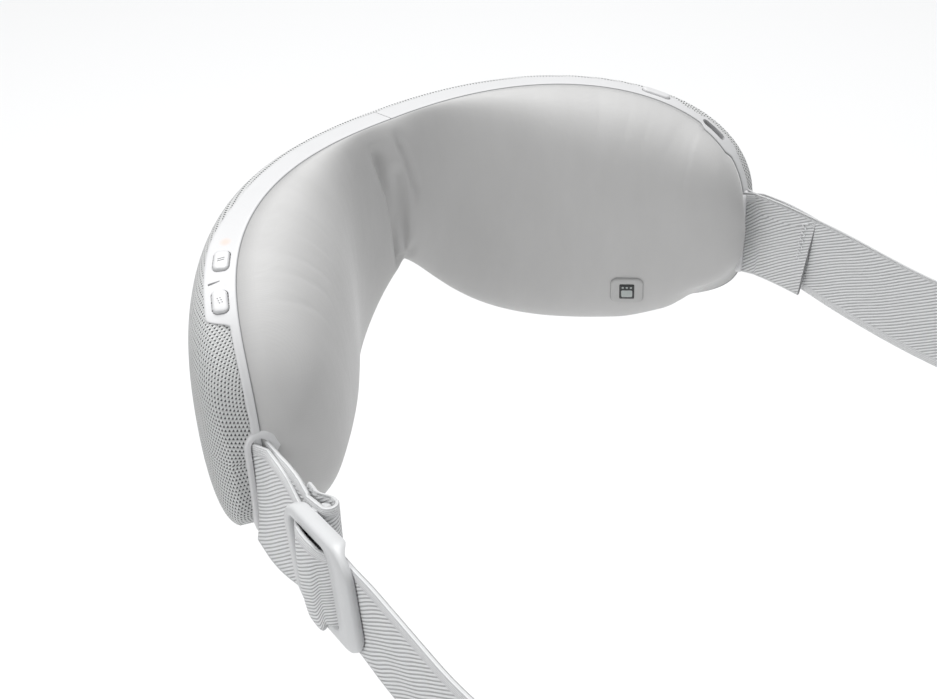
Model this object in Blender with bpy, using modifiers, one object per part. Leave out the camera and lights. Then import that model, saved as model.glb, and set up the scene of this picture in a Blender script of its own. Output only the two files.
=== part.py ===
"""Eye massager mask: two hinged halves, each a mesh-covered shell, a rim and a padded cushion, with a head strap.

Metres, +Z up. The wearer faces -Y, so the mesh front faces -Y and the cushions face +Y. +X is the wearer's left.
x = 0 is the plane of symmetry, and y = 0 is the front edge of the rim at the centre.
"""

import math

import bmesh
import bpy
import numpy as np
from mathutils import Matrix, Vector

# --- the outline of one half, measured along the curved rim ---
HALF_LENGTH = 0.1232
TOP_HEIGHT = 0.0504
TOP_POWER = 3.21
LOW_HEIGHT = 0.0292
LOW_POWER = 3.5
NOTCH_RISE = 0.0351
NOTCH_WIDTH = 0.0256
NOTCH_POWER = 1.38

# --- how the rim curves round the head, seen from above ---
END_TURN = 1.241
TURN_POWER = 1.2103
TURN_LATE = -0.1066

# --- the rim ---
RIM_FRONT = 0.0003
SEAM_MID = 0.00825
SEAM_END = 0.0065
SEAM_GROWS_LONG = 0.00165
SEAM_GROWS_TALL = 0.00066
RIM_WALL = 0.0020
RIM_CELLS = 41

# --- the front ---
FRONT_BULGE = 0.0109
FRONT_ROUND = 0.0486
FRONT_POWER = 1.92
MESH_WALL = 0.0008
SHELL_INSET = 0.0012
SHELL_WALL = 0.0016

# --- the cushion ---
CUSHION_THICK = 0.0283
CUSHION_THICK_MID = 0.0030
CUSHION_THICK_END = 0.0257
CUSHION_VALLEY = 0.0450
CUSHION_ROUND = 0.0353
CUSHION_POWER = 2.5
CUSHION_EDGE = 0.0012
CUSHION_START = 0.0034

# --- the plate between shell and cushion ---
PLATE_INSET = 0.0026
PLATE_START = 0.0036
PLATE_DEEP = 0.0022
PLATE_WALL = 0.0012

# --- the fold ---
HINGE_Y = 0.0084
HINGE_RADIUS = 0.0020
HINGE_BORE = 0.00125
HINGE_PIN = 0.0010
HINGE_LOW = 0.0095
HINGE_HIGH = 0.0460
KNUCKLE_GAP = 0.0003

# --- the strap and its anchors ---
STRAP_WIDE = 0.0270
STRAP_WALL = 0.0012
STRAP_HEADING = {1: math.radians(9.5), -1: math.radians(3.0)}
STRAP_CLIMB = {1: 0.045, -1: -0.050}
STRAP_STRAIGHT = 0.0820
STRAP_BACK = 0.2560
STRAP_BACK_DROP = 0.0120
PIN_RADIUS = 0.0008
ANCHOR_LOW = -0.0175
ANCHOR_HIGH = 0.0155
ANCHOR_DEPTH = 0.0054
ANCHOR_WIDE = 0.0081
ANCHOR_SLOT = 0.0052
ANCHOR_OUT = 0.0026
ANCHOR_IN = 0.0060

# --- the buckle ---
BUCKLE_AT = 0.0390
BUCKLE_LONG = 0.0360
BUCKLE_TALL = 0.0348
BUCKLE_WINDOW = 0.0298
BUCKLE_THICK = 0.0046
BUCKLE_TILT = math.radians(2.5)
THIN_BAR = 0.0026
WIDE_BAR = 0.0125
CENTRE_BAR = 0.0030

GAP = 0.0003
UP = Vector((0, 0, 1))


# ---------------------------------------------------------------- scene and materials
for old in list(bpy.data.objects):
    bpy.data.objects.remove(old, do_unlink=True)


def new_collection(name):
    found = bpy.data.collections.new(name)
    bpy.context.scene.collection.children.link(found)
    return found


PARTS = new_collection("eye_massager_mask")
CUTTERS = new_collection("cutters")
CUTTERS.hide_render = True


def material(name, colour, roughness, metallic=0.0):
    made = bpy.data.materials.new(name)
    made.use_nodes = True
    shader = made.node_tree.nodes["Principled BSDF"]
    shader.inputs["Base Color"].default_value = (*colour, 1)
    shader.inputs["Roughness"].default_value = roughness
    shader.inputs["Metallic"].default_value = metallic
    return made


def show(obj, finish):
    """Puts a finished piece in the model, with its own material."""
    colour, roughness, metallic = finish
    PARTS.objects.link(obj)
    obj.data.materials.append(material(obj.name, colour, roughness, metallic))
    return obj


RIM_GREY = ((0.72, 0.72, 0.72), 0.45, 0.0)
MESH_GREY = ((0.55, 0.55, 0.55), 0.85, 0.0)
CUSHION_GREY = ((0.66, 0.65, 0.64), 0.60, 0.0)
STRAP_GREY = ((0.68, 0.68, 0.68), 0.80, 0.0)
SHELL_GREY = ((0.45, 0.45, 0.46), 0.50, 0.0)
STEEL = ((0.60, 0.60, 0.62), 0.25, 1.0)
BOARD_GREEN = ((0.05, 0.22, 0.10), 0.45, 0.0)
RUBBER = ((0.12, 0.12, 0.12), 0.80, 0.0)
CLEAR = ((0.85, 0.85, 0.80), 0.15, 0.0)
FOIL = ((0.55, 0.56, 0.58), 0.35, 0.6)
AMBER = ((0.75, 0.45, 0.15), 0.50, 0.0)
DARK = ((0.02, 0.02, 0.02), 0.10, 0.0)


# ---------------------------------------------------------------- the curved frame of the mask
def turn(length):
    """The rim's heading at a distance along it from the centre."""
    share = np.abs(length) / HALF_LENGTH
    return END_TURN * ((1 - TURN_LATE) * share**TURN_POWER + TURN_LATE * share**5)


STEPS = np.linspace(0, 1.2 * HALF_LENGTH, 601)
HEADINGS = turn(STEPS)
STEP = STEPS[1]
RUN_X = np.concatenate([[0], np.cumsum((np.cos(HEADINGS[1:]) + np.cos(HEADINGS[:-1])) / 2 * STEP)])
RUN_Y = np.concatenate([[0], np.cumsum((np.sin(HEADINGS[1:]) + np.sin(HEADINGS[:-1])) / 2 * STEP)])


def place(side, along, z, depth):
    """A point of the mask: along the rim from the centre, up, and in towards the wearer."""
    heading = float(turn(along))
    x = float(np.interp(along, STEPS, RUN_X)) - depth * math.sin(heading)
    y = float(np.interp(along, STEPS, RUN_Y)) + depth * math.cos(heading)
    return Vector((side * x, y, z))


def along_dir(side, along):
    heading = float(turn(along))
    return Vector((side * math.cos(heading), math.sin(heading), 0))


def depth_dir(side, along):
    heading = float(turn(along))
    return Vector((-side * math.sin(heading), math.cos(heading), 0))


def swell(share, power):
    """A quarter superellipse that rises from 0 to 1."""
    share = min(max(share, 0), 1)
    return (1 - (1 - share) ** power) ** (1 / power)


def arch(share, power):
    return max(1 - abs(share) ** power, 0) ** (1 / power)


def notch(along):
    return NOTCH_RISE * math.exp(-((abs(along) / NOTCH_WIDTH) ** NOTCH_POWER))


def top_edge(along, inset=0.0):
    return (TOP_HEIGHT - inset) * arch(along / (HALF_LENGTH - inset), TOP_POWER)


def low_edge(along, inset=0.0):
    return -(LOW_HEIGHT - inset) * arch(along / (HALF_LENGTH - inset), LOW_POWER) + notch(along)


def edge_distance(along, z, inset=0.0):
    """About how far a point lies inside the outline."""
    spans = (top_edge(along, inset) - z, z - low_edge(along, inset), HALF_LENGTH - inset - along)
    return sum(1 / max(span, 1e-6) ** 2 for span in spans) ** -0.5


def seam(along):
    """How deep the line between rim and cushion lies."""
    return SEAM_MID + (SEAM_END - SEAM_MID) * min(along / HALF_LENGTH, 1)


def field(u, v, start, inset):
    """Maps the unit square to the outline of one half: u along the rim, v from the low edge to the top."""
    end = (HALF_LENGTH - inset) * 0.9995
    along = start + (end - start) * math.sin(u * math.pi / 2)
    low, top = low_edge(along, inset), top_edge(along, inset)
    return along, low + (top - low) * (0.5 - 0.5 * math.cos(v * math.pi))


def rim_point(u, inset):
    """A point of the outline, from the centre of the top round the end to the notch, and its side: 1 top, -1 low."""
    cell = u * RIM_CELLS
    half = RIM_CELLS // 2
    top = cell <= half
    share = cell / half if top else (RIM_CELLS - cell) / half
    along = (HALF_LENGTH - inset) * 0.9995 * math.sin(share * math.pi / 2)
    return along, top_edge(along, inset) if top else low_edge(along, inset), 1 if top else -1


# ---------------------------------------------------------------- shapes
def finish_mesh(bm, name):
    bm.normal_update()
    bmesh.ops.recalc_face_normals(bm, faces=bm.faces[:])
    mesh = bpy.data.meshes.new(name)
    bm.to_mesh(mesh)
    bm.free()
    mesh.shade_smooth()
    mesh.set_sharp_from_angle(angle=math.radians(35))
    return bpy.data.objects.new(name, mesh)


def formed(name, columns, rows, point):
    """A one-layer block of columns by rows cells, bent to shape by point(u, v, layer), each from 0 to 1."""
    bm = bmesh.new()
    bmesh.ops.create_grid(bm, x_segments=columns, y_segments=rows, size=0.5)
    bmesh.ops.translate(bm, verts=bm.verts[:], vec=(0.5, 0.5, 0))
    raised = bmesh.ops.extrude_face_region(bm, geom=bm.faces[:])
    for item in raised["geom"]:
        if isinstance(item, bmesh.types.BMVert):
            item.co.z = 1
    for vert in bm.verts:
        vert.co = point(*vert.co)
    return finish_mesh(bm, name)


def block(name, size, matrix, bevel=0.0, segments=2):
    """A box, with its edges rounded where bevel is given."""
    bm = bmesh.new()
    bmesh.ops.create_cube(bm, size=1, matrix=Matrix.Diagonal((*size, 1)))
    if bevel:
        bmesh.ops.bevel(bm, geom=bm.edges[:], offset=bevel, segments=segments, profile=0.5, affect="EDGES")
    obj = finish_mesh(bm, name)
    obj.matrix_world = matrix
    return obj


def pill(name, size, matrix, corner, segments=3):
    """A plate whose outline has round corners."""
    bm = bmesh.new()
    bmesh.ops.create_cube(bm, size=1, matrix=Matrix.Diagonal((*size, 1)))
    uprights = [edge for edge in bm.edges if abs(edge.verts[0].co.z - edge.verts[1].co.z) > size[2] / 2]
    bmesh.ops.bevel(bm, geom=uprights, offset=corner, segments=segments, profile=0.5, affect="EDGES")
    obj = finish_mesh(bm, name)
    obj.matrix_world = matrix
    return obj


def rod(name, radius, length, matrix, segments=16):
    """A cylinder along the matrix's Z, centred on it."""
    bm = bmesh.new()
    bmesh.ops.create_cone(bm, cap_ends=True, segments=segments, radius1=radius, radius2=radius, depth=length)
    obj = finish_mesh(bm, name)
    obj.matrix_world = matrix
    return obj


def puff(name, side, centre, radii, power, segments=16, rings=8):
    """A rounded lens bent to the mask's curve. centre is along, z and depth."""
    bm = bmesh.new()
    bmesh.ops.create_uvsphere(bm, u_segments=segments, v_segments=rings, radius=1)
    for vert in bm.verts:
        size = sum(abs(c) ** power for c in vert.co) ** (1 / power)
        offset = [r * c / size for r, c in zip(radii, vert.co)]
        along, z, depth = (c + o for c, o in zip(centre, offset))
        vert.co = place(side, along, z, depth)
    return finish_mesh(bm, name)


def tube(name, points, radius):
    """A round flexible tube through smooth points, as a closed mesh."""
    data = bpy.data.curves.new(name, "CURVE")
    data.dimensions = "3D"
    data.bevel_depth = radius
    data.bevel_resolution = 1
    data.use_fill_caps = True
    spline = data.splines.new("POLY")
    spline.points.add(len(points) - 1)
    for knot, point in zip(spline.points, points):
        knot.co = (*point, 1)
    return bpy.data.objects.new(name, data)


def smooth_path(knots, count):
    """count points along a Catmull-Rom curve through the knots."""
    knots = [Vector(k) for k in knots]
    knots = [2 * knots[0] - knots[1], *knots, 2 * knots[-1] - knots[-2]]
    found = []
    for i in range(count):
        position = i / (count - 1) * (len(knots) - 3)
        n = min(int(position), len(knots) - 4)
        t = position - n
        a, b, c, d = knots[n : n + 4]
        found.append(
            0.5 * ((2 * b) + (c - a) * t + (2 * a - 5 * b + 4 * c - d) * t**2 + (3 * b - a - 3 * c + d) * t**3)
        )
    return found


def cutter(obj):
    """Keeps a shape out of the model, for cutting and joining."""
    CUTTERS.objects.link(obj)
    obj.display_type = "WIRE"
    obj.hide_render = True
    return obj


def combine(target, other, operation):
    change = target.modifiers.new(other.name, "BOOLEAN")
    change.operation = operation
    change.solver = "EXACT"
    change.object = other


def axes(origin, x_axis, y_axis):
    """A placing matrix from an origin and two perpendicular directions."""
    x_axis = x_axis.normalized()
    y_axis = y_axis.normalized()
    z_axis = x_axis.cross(y_axis)
    matrix = Matrix((x_axis, y_axis, z_axis)).transposed().to_4x4()
    matrix.translation = origin
    return matrix


def rim_frame(side, along, depth, inset):
    """On the rim's top: X runs along the rim, Y in towards the wearer or out, and Z straight out of the rim."""
    step = 0.0004
    before = place(side, along - step, top_edge(along - step), depth)
    after = place(side, along + step, top_edge(along + step), depth)
    x_axis = (after - before).normalized() * side
    y_axis = depth_dir(side, along)
    matrix = axes(place(side, along, top_edge(along), depth), x_axis, y_axis)
    if (matrix.to_3x3() @ UP).z < 0:
        matrix = axes(matrix.translation, -x_axis, y_axis)
    return matrix @ Matrix.Translation((0, 0, -inset))


def side_name(side):
    return "left" if side > 0 else "right"


# ---------------------------------------------------------------- the front shell and the mesh
def front_depth(along, z, inset):
    distance = edge_distance(along, z, inset)
    return -(FRONT_BULGE - inset) * swell(distance / (FRONT_ROUND - inset), FRONT_POWER)


def front_skin(name, side, inset, wall):
    """A domed skin over the front, whose outer face lies inset inside the mask's outer surface."""

    def point(u, v, layer):
        deeper = inset + wall * (1 - layer)
        along, z = field(u, v, GAP / 2, deeper)
        return place(side, along, z, front_depth(along, z, deeper))

    return formed(f"{name}_{side_name(side)}", 16, 12, point)


SCREW_SITES = ((0.022, 0.038), (0.064, 0.036), (0.100, -0.008), (0.060, -0.016))
BOSS_RADIUS = 0.0024
SCREW_RADIUS = 0.0008
SCREW_HOLE = 0.0011
HEAD_RADIUS = 0.0016


def normal_frame(side, along, z, depth):
    """Z points in towards the wearer."""
    return axes(place(side, along, z, depth), along_dir(side, along) * side, UP * -1)


def build_front(side):
    word = side_name(side)
    show(front_skin("mesh_cover", side, 0.0, MESH_WALL), MESH_GREY)
    shell = show(front_skin("front_shell", side, SHELL_INSET, SHELL_WALL), SHELL_GREY)
    for number, (along, z) in enumerate(SCREW_SITES, 1):
        front = front_depth(along, z, SHELL_INSET + SHELL_WALL / 2)
        back = seam(along) - PLATE_DEEP - GAP
        boss = rod(f"boss_{word}_{number}", BOSS_RADIUS, back - front, normal_frame(side, along, z, (front + back) / 2), 12)
        combine(shell, cutter(boss), "UNION")
        pilot_deep = 0.0062
        pilot = rod(
            f"pilot_{word}_{number}", SCREW_HOLE, pilot_deep, normal_frame(side, along, z, back - pilot_deep / 2 + GAP), 10
        )
        combine(shell, cutter(pilot), "DIFFERENCE")


# ---------------------------------------------------------------- the rim and what sits in it
RIM_BUTTONS = {
    "intensity_button": (1, 0.0870, 0.0032, (0.0066, 0.0044)),
    "mode_button": (1, 0.1007, 0.0032, (0.0066, 0.0044)),
    "power_button": (-1, 0.0917, 0.0030, (0.0086, 0.0038)),
}
BUTTON_PROUD = 0.0008
BUTTON_ROOT = 0.0015
PORT_ALONG = 0.1110
PORT_DEPTH = 0.0042
PORT_SIZE = (0.0086, 0.0028, 0.0072)


def build_rim(side):
    word = side_name(side)

    def point(u, v, layer):
        along, z, upper = rim_point(u, RIM_WALL * (1 - layer))
        along = max(along * (1 + SEAM_GROWS_LONG * v / HALF_LENGTH), GAP / 2)
        z += SEAM_GROWS_TALL * v * upper
        depth = RIM_FRONT + (seam(along) - RIM_FRONT) * v
        return place(side, along, z, depth)

    rim = show(formed(f"rim_{word}", RIM_CELLS, 1, point), RIM_GREY)
    for name, (at_side, along, depth, (long, wide)) in RIM_BUTTONS.items():
        if at_side == side:
            hole = (long + 2 * GAP, wide + 2 * GAP, 0.012)
            frame = rim_frame(side, along, depth, 0)
            combine(rim, cutter(pill(f"{name}_hole", hole, frame, wide * 0.4)), "DIFFERENCE")
    return rim


def build_button(name):
    side, along, depth, (long, wide) = RIM_BUTTONS[name]
    tall = BUTTON_PROUD + BUTTON_ROOT
    frame = rim_frame(side, along, depth, 0)
    lift = Matrix.Translation((0, 0, (BUTTON_PROUD - BUTTON_ROOT) / 2))
    cap = pill(name, (long, wide, tall), frame, wide * 0.35)
    cap.data.transform(lift)
    show(cap, RIM_GREY)
    switch_name = name.replace("button", "switch")
    switch = block(switch_name, (0.0034, 0.0022, 0.0016), rim_frame(side, along, depth - 0.0004, 0.0033), 0.0003, 1)
    show(switch, STEEL)


def build_port(rim, plate):
    """The charging socket: a metal shell in a recess of the right rim."""
    long, thick, deep = PORT_SIZE
    mouth = rim_frame(-1, PORT_ALONG, PORT_DEPTH, 0.0012 + deep / 2)
    shell = show(pill("charging_port", (long, thick, deep), mouth, thick * 0.45, 4), STEEL)
    inside = pill("charging_port_bore", (long - 0.0008, thick - 0.0008, deep), mouth, thick * 0.33, 4)
    inside.data.transform(Matrix.Translation((0, 0, 0.0010)))
    combine(shell, cutter(inside), "DIFFERENCE")
    tongue = rim_frame(-1, PORT_ALONG, PORT_DEPTH, 0.0050)
    show(block("charging_contacts", (0.0062, 0.0007, 0.0040), tongue), DARK)
    hole = (long + 2 * GAP, thick + 2 * GAP, 0.030)
    recess = cutter(pill("charging_port_hole", hole, rim_frame(-1, PORT_ALONG, PORT_DEPTH, 0.004), hole[1] * 0.45, 4))
    combine(rim, recess, "DIFFERENCE")
    combine(plate, recess, "DIFFERENCE")


# ---------------------------------------------------------------- the plate, screws and cushion
def build_plate(side):
    word = side_name(side)

    def point(u, v, layer):
        along, z = field(u, v, PLATE_START, PLATE_INSET)
        return place(side, along, z, seam(along) - PLATE_DEEP + PLATE_WALL * layer)

    plate = show(formed(f"inner_plate_{word}", 14, 8, point), SHELL_GREY)
    for number, (along, z) in enumerate(SCREW_SITES, 1):
        depth = seam(along) - PLATE_DEEP
        hole = rod(f"screw_hole_{word}_{number}", SCREW_HOLE, 0.006, normal_frame(side, along, z, depth), 10)
        combine(plate, cutter(hole), "DIFFERENCE")
        build_screw(side, along, z, number)
    return plate


def build_screw(side, along, z, number):
    """A small pan-head screw: a turned profile along its own Z, driven in from the wearer's side."""
    shank, head = 0.0060, 0.0007
    face = seam(along) - PLATE_DEEP + PLATE_WALL + GAP
    profile = ((0, head), (HEAD_RADIUS, head * 0.6), (HEAD_RADIUS, 0), (SCREW_RADIUS, 0), (SCREW_RADIUS, -shank), (0, -shank))
    mesh = bpy.data.meshes.new(f"screw_{number}")
    mesh.from_pydata([(x, 0, y) for x, y in profile], [(i, i + 1) for i in range(len(profile) - 1)], [])
    screw = bpy.data.objects.new(f"screw_{side_name(side)}_{number}", mesh)
    screw.matrix_world = normal_frame(side, along, z, face)
    spin = screw.modifiers.new("turned", "SCREW")
    spin.steps = 12
    spin.render_steps = 12
    spin.use_merge_vertices = True
    spin.merge_threshold = 0.0001
    spin.use_smooth_shade = False
    show(screw, STEEL)


def cushion_height(along, z):
    """How far the cushion stands above the seam."""
    valley = math.exp(-((along / CUSHION_VALLEY) ** 2))
    late = min(max(along / HALF_LENGTH - 0.5, 0) / 0.5, 1) ** 2
    full = CUSHION_THICK + (CUSHION_THICK_MID - CUSHION_THICK) * valley
    full += (CUSHION_THICK_END - CUSHION_THICK) * late
    return CUSHION_EDGE + (full - CUSHION_EDGE) * swell(edge_distance(along, z) / CUSHION_ROUND, CUSHION_POWER)


def build_cushion(side):
    def point(u, v, layer):
        along, z = field(u, v, CUSHION_START, 0.0004)
        depth = seam(along) + GAP + layer * (cushion_height(along, z) - GAP)
        return place(side, along, z, depth)

    return show(formed(f"cushion_{side_name(side)}", 18, 12, point), CUSHION_GREY)


POCKET_ALONG = 0.0700
POCKET_Z = 0.0120


def build_air_and_heat(side, cushion):
    """The inflating bladder and the warming sheet, in a pocket in the back of the cushion."""
    word = side_name(side)
    base = seam(POCKET_ALONG)
    pocket = puff(f"pocket_{word}", side, (POCKET_ALONG, POCKET_Z, base), (0.0280, 0.0200, 0.0125), 4)
    combine(cushion, cutter(pocket), "DIFFERENCE")
    bladder = puff(f"air_bladder_{word}", side, (POCKET_ALONG, POCKET_Z, base + 0.0044), (0.0240, 0.0170, 0.0038), 3)
    show(bladder, RUBBER)

    def point(u, v, layer):
        along = POCKET_ALONG + 0.0180 * (2 * u - 1)
        z = POCKET_Z + 0.0120 * (2 * v - 1)
        return place(side, along, z, base + 0.0093 + 0.0008 * layer)

    show(formed(f"heating_pad_{word}", 8, 1, point), AMBER)


# ---------------------------------------------------------------- the fold hinge
KNUCKLES = {
    -1: ((HINGE_LOW, 0.0195), (0.0360, HINGE_HIGH)),
    1: ((0.0195 + KNUCKLE_GAP, 0.0360 - KNUCKLE_GAP),),
}


def upright(x, y, low, high):
    return Matrix.Translation((x, y, (low + high) / 2))


def build_hinge(side):
    """One leaf: a flange behind the plate's front, with its knuckles round the pin."""
    word = side_name(side)
    (first_low, first_high), *others = KNUCKLES[side]
    leaf = rod(f"hinge_leaf_{word}", HINGE_RADIUS, first_high - first_low, upright(0, HINGE_Y, first_low, first_high))
    pieces = []
    flange_low, flange_high = KNUCKLES[side][0][0], KNUCKLES[side][-1][1]
    flange_x = side * 0.0085
    pieces.append(
        block(
            f"hinge_flange_{word}",
            (0.0090, 0.0014, flange_high - flange_low),
            upright(flange_x, 0.0048, flange_low, flange_high),
        )
    )
    for low, high in KNUCKLES[side]:
        arm = (0.0028, 0.0044, high - low)
        pieces.append(block(f"hinge_arm_{word}_{len(pieces)}", arm, upright(side * 0.0016, 0.0062, low, high)))
    for low, high in others:
        pieces.append(rod(f"hinge_knuckle_{word}", HINGE_RADIUS, high - low, upright(0, HINGE_Y, low, high)))
    bridge = (0.0030, 0.0014, flange_high - flange_low)
    pieces.append(block(f"hinge_bridge_{word}", bridge, upright(side * 0.0035, 0.0048, flange_low, flange_high)))
    for piece in pieces:
        combine(leaf, cutter(piece), "UNION")
    bore = rod(f"hinge_bore_{word}", HINGE_BORE, 0.050, upright(0, HINGE_Y, HINGE_LOW, HINGE_HIGH), 16)
    combine(leaf, cutter(bore), "DIFFERENCE")
    show(leaf, STEEL)
    if side < 0:
        show(rod("hinge_pin", HINGE_PIN, HINGE_HIGH - HINGE_LOW, upright(0, HINGE_Y, HINGE_LOW, HINGE_HIGH)), STEEL)


# ---------------------------------------------------------------- the strap anchors and the strap
def anchor_origin(side):
    """The strap pin's middle."""
    return place(side, HALF_LENGTH - 0.0018, (ANCHOR_LOW + ANCHOR_HIGH) / 2, ANCHOR_DEPTH)


def anchor_frame(side):
    """X runs out of the mask's end, Z up."""
    out = along_dir(side, HALF_LENGTH)
    return axes(anchor_origin(side), out, UP.cross(out))


def build_anchor(side, neighbours):
    """A frame in the end of the rim, with a slot that the strap leaves by and a pin that it turns round."""
    word = side_name(side)
    tall = ANCHOR_HIGH - ANCHOR_LOW
    frame = anchor_frame(side)
    long = ANCHOR_OUT + ANCHOR_IN
    middle = frame @ Matrix.Translation(((ANCHOR_OUT - ANCHOR_IN) / 2 + 0.0012, 0, 0))
    anchor = pill(f"strap_anchor_{word}", (tall, ANCHOR_WIDE, long), middle @ Matrix.Rotation(math.pi / 2, 4, "Y"), 0.0030)
    slot = (tall - 0.0036, ANCHOR_SLOT, long)
    cut = middle @ Matrix.Translation((0.0014, 0, 0)) @ Matrix.Rotation(math.pi / 2, 4, "Y")
    combine(anchor, cutter(pill(f"strap_slot_{word}", slot, cut, 0.0014)), "DIFFERENCE")
    combine(anchor, cutter(rod(f"strap_pin_hole_{word}", PIN_RADIUS + GAP, tall - 0.0012, frame, 12)), "DIFFERENCE")
    show(anchor, RIM_GREY)
    show(rod(f"strap_pin_{word}", PIN_RADIUS, tall - 0.0018, frame, 12), STEEL)
    room = (tall + 2 * GAP, ANCHOR_WIDE + 2 * GAP, long + 2 * GAP)
    room_obj = cutter(pill(f"anchor_room_{word}", room, middle @ Matrix.Rotation(math.pi / 2, 4, "Y"), 0.0030))
    for neighbour in neighbours:
        combine(neighbour, room_obj, "DIFFERENCE")


def strap_line(side):
    """The strap's route in plan, from the pin to the back of the head: (point, roll) along its middle."""
    origin = anchor_origin(side)
    out = along_dir(side, HALF_LENGTH)
    heading = STRAP_HEADING[side]
    straight = Vector((side * math.sin(heading), math.cos(heading), 0))
    begin = origin + out * 0.0070
    turn_in = begin + out * 0.0040 + straight * 0.0040
    finish = turn_in + straight * STRAP_STRAIGHT
    return begin, turn_in, finish, straight


def strap_points(side):
    """Middle line of the outer band: (point, up) from the slot to the back centre."""
    begin, turn_in, finish, straight = strap_line(side)
    back = Vector((side * GAP / 2, STRAP_BACK, finish.z))
    reach = 0.0640
    bend_1 = finish + straight * reach
    bend_2 = back + Vector((side * 0.0640, 0, 0))
    flat = [begin, (begin + 2 * turn_in + turn_in + straight * 0.004) / 4]
    flat += [turn_in.lerp(finish, share) for share in np.linspace(0.08, 1, 9)]
    for t in np.linspace(0, 1, 13)[1:]:
        flat.append(
            finish * (1 - t) ** 3 + bend_1 * 3 * t * (1 - t) ** 2 + bend_2 * 3 * t**2 * (1 - t) + back * t**3
        )
    travelled = 0.0
    found = []
    for n, point in enumerate(flat):
        travelled += (point - flat[n - 1]).length if n else 0
        share = min(max((point - flat[0]).length - 0.1, 0) / 0.12, 1)
        climb = STRAP_CLIMB[side] * min(travelled, 0.1)
        drop = (-STRAP_BACK_DROP - STRAP_CLIMB[side] * 0.1) * share * share * (3 - 2 * share)
        found.append(point + UP * (climb + drop))
    return found


def band_normals(points):
    """Level directions across the band, on the outer side of the head loop."""
    found = []
    for n in range(len(points)):
        ahead = points[min(n + 1, len(points) - 1)] - points[max(n - 1, 0)]
        found.append(Vector((ahead.y, -ahead.x, 0)).normalized())
    return found


def build_strap(side):
    """One flat band: from its sewn end it runs to the pin, turns round it, and goes on to the back of the head."""
    outer = strap_points(side)
    normals = [n * side for n in band_normals(outer)]
    origin = anchor_origin(side)
    out = along_dir(side, HALF_LENGTH)
    away = -depth_dir(side, HALF_LENGTH)
    radius = PIN_RADIUS + GAP + STRAP_WALL / 2
    lay = STRAP_WALL / 2 + GAP / 2
    turn_points = []
    for angle in np.linspace(math.pi / 2, 3 * math.pi / 2, 9):
        turn_points.append(origin - away * radius * math.sin(angle) + out * radius * math.cos(angle))
    pairs = [(p + n * lay) for p, n in zip(outer, normals)]
    sewn = BUCKLE_AT - CENTRE_BAR / 2 - GAP if side > 0 else 0.026
    inner = [p - n * lay for p, n in zip(outer, normals) if (p - origin).length < sewn]
    last = inner[-1] + (outer[len(inner)] - outer[len(inner) - 1]).normalized() * (sewn - (inner[-1] - origin).length)
    route = [last, *reversed(inner), *turn_points, *pairs]
    across = band_normals(route)

    def point(u, v, layer):
        n = round(u * (len(route) - 1))
        return route[n] + UP * STRAP_WIDE * (v - 0.5) + across[n] * STRAP_WALL * (layer - 0.5)

    return show(formed(f"strap_{side_name(side)}", len(route) - 1, 1, point), STRAP_GREY)


def build_buckle():
    """A slider: side bars, a thin bar and a wide bar over the band, and a centre bar under it."""
    _, turn_in, _, straight = strap_line(1)
    rise = Vector((straight.x, straight.y, STRAP_CLIMB[1])).normalized()
    outward = Vector((straight.y, -straight.x, 0))
    start = anchor_origin(1)
    at = turn_in + straight * (BUCKLE_AT - (turn_in - start).length)
    at = at + UP * STRAP_CLIMB[1] * BUCKLE_AT
    frame = axes(at, rise, outward.cross(rise)) @ Matrix.Rotation(BUCKLE_TILT, 4, "Z")
    over = 0.0017
    plate_z = over + GAP + BUCKLE_THICK / 2 - 0.0011
    plate = pill("buckle", (BUCKLE_LONG, BUCKLE_TALL, BUCKLE_THICK), frame, 0.0060, 4)
    plate.data.transform(Matrix.Translation((0, 0, plate_z - 0.0016)))
    window_1 = BUCKLE_LONG - THIN_BAR - WIDE_BAR
    window = (window_1, BUCKLE_WINDOW, 0.02)
    hole = cutter(pill("buckle_window", window, frame, 0.0016, 2))
    hole.data.transform(Matrix.Translation(((THIN_BAR - WIDE_BAR) / 2, 0, 0)))
    combine(plate, hole, "DIFFERENCE")
    tunnel = cutter(block("buckle_tunnel", (BUCKLE_LONG * 1.2, BUCKLE_WINDOW, 0.0070), frame))
    tunnel.data.transform(Matrix.Translation((0, 0, over + GAP - 0.0035)))
    combine(plate, tunnel, "DIFFERENCE")
    show(plate, RIM_GREY)
    return plate, frame


def build_centre_bar(buckle, frame):
    """The bar that the strap's end is sewn round, joined to the side bars by its two feet."""
    reach = (BUCKLE_TALL + BUCKLE_WINDOW) / 2
    under = -0.0035
    bar = cutter(block("buckle_centre_bar", (CENTRE_BAR, reach, 0.0022), frame, 0.0004, 1))
    bar.data.transform(Matrix.Translation((-0.0040, 0, under)))
    combine(buckle, bar, "UNION")
    for sign in (1, -1):
        foot = cutter(block(f"buckle_foot_{'top' if sign > 0 else 'low'}", (0.0060, (BUCKLE_TALL - BUCKLE_WINDOW) / 2, 0.0068), frame))
        foot.data.transform(Matrix.Translation((-0.0040, sign * reach / 2, -0.0012)))
        combine(buckle, foot, "UNION")


# ---------------------------------------------------------------- what is inside
def flat_box(name, side, along, z, depth, size, finish, bevel=0.0005):
    frame = axes(place(side, along, z, depth), along_dir(side, along) * side, UP)
    return show(block(name, size, frame, bevel, 1), finish)


MOTOR_ALONG = 0.0340
MOTOR_Z = 0.0215
MOTOR_DEPTH = 0.0020
MOTOR_RADIUS = 0.0055
MOTOR_THICK = 0.0034
MOTOR_WALL = 0.0005
CRADLE_WALL = 0.0012
CRADLE_THICK = 0.0026


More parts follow.
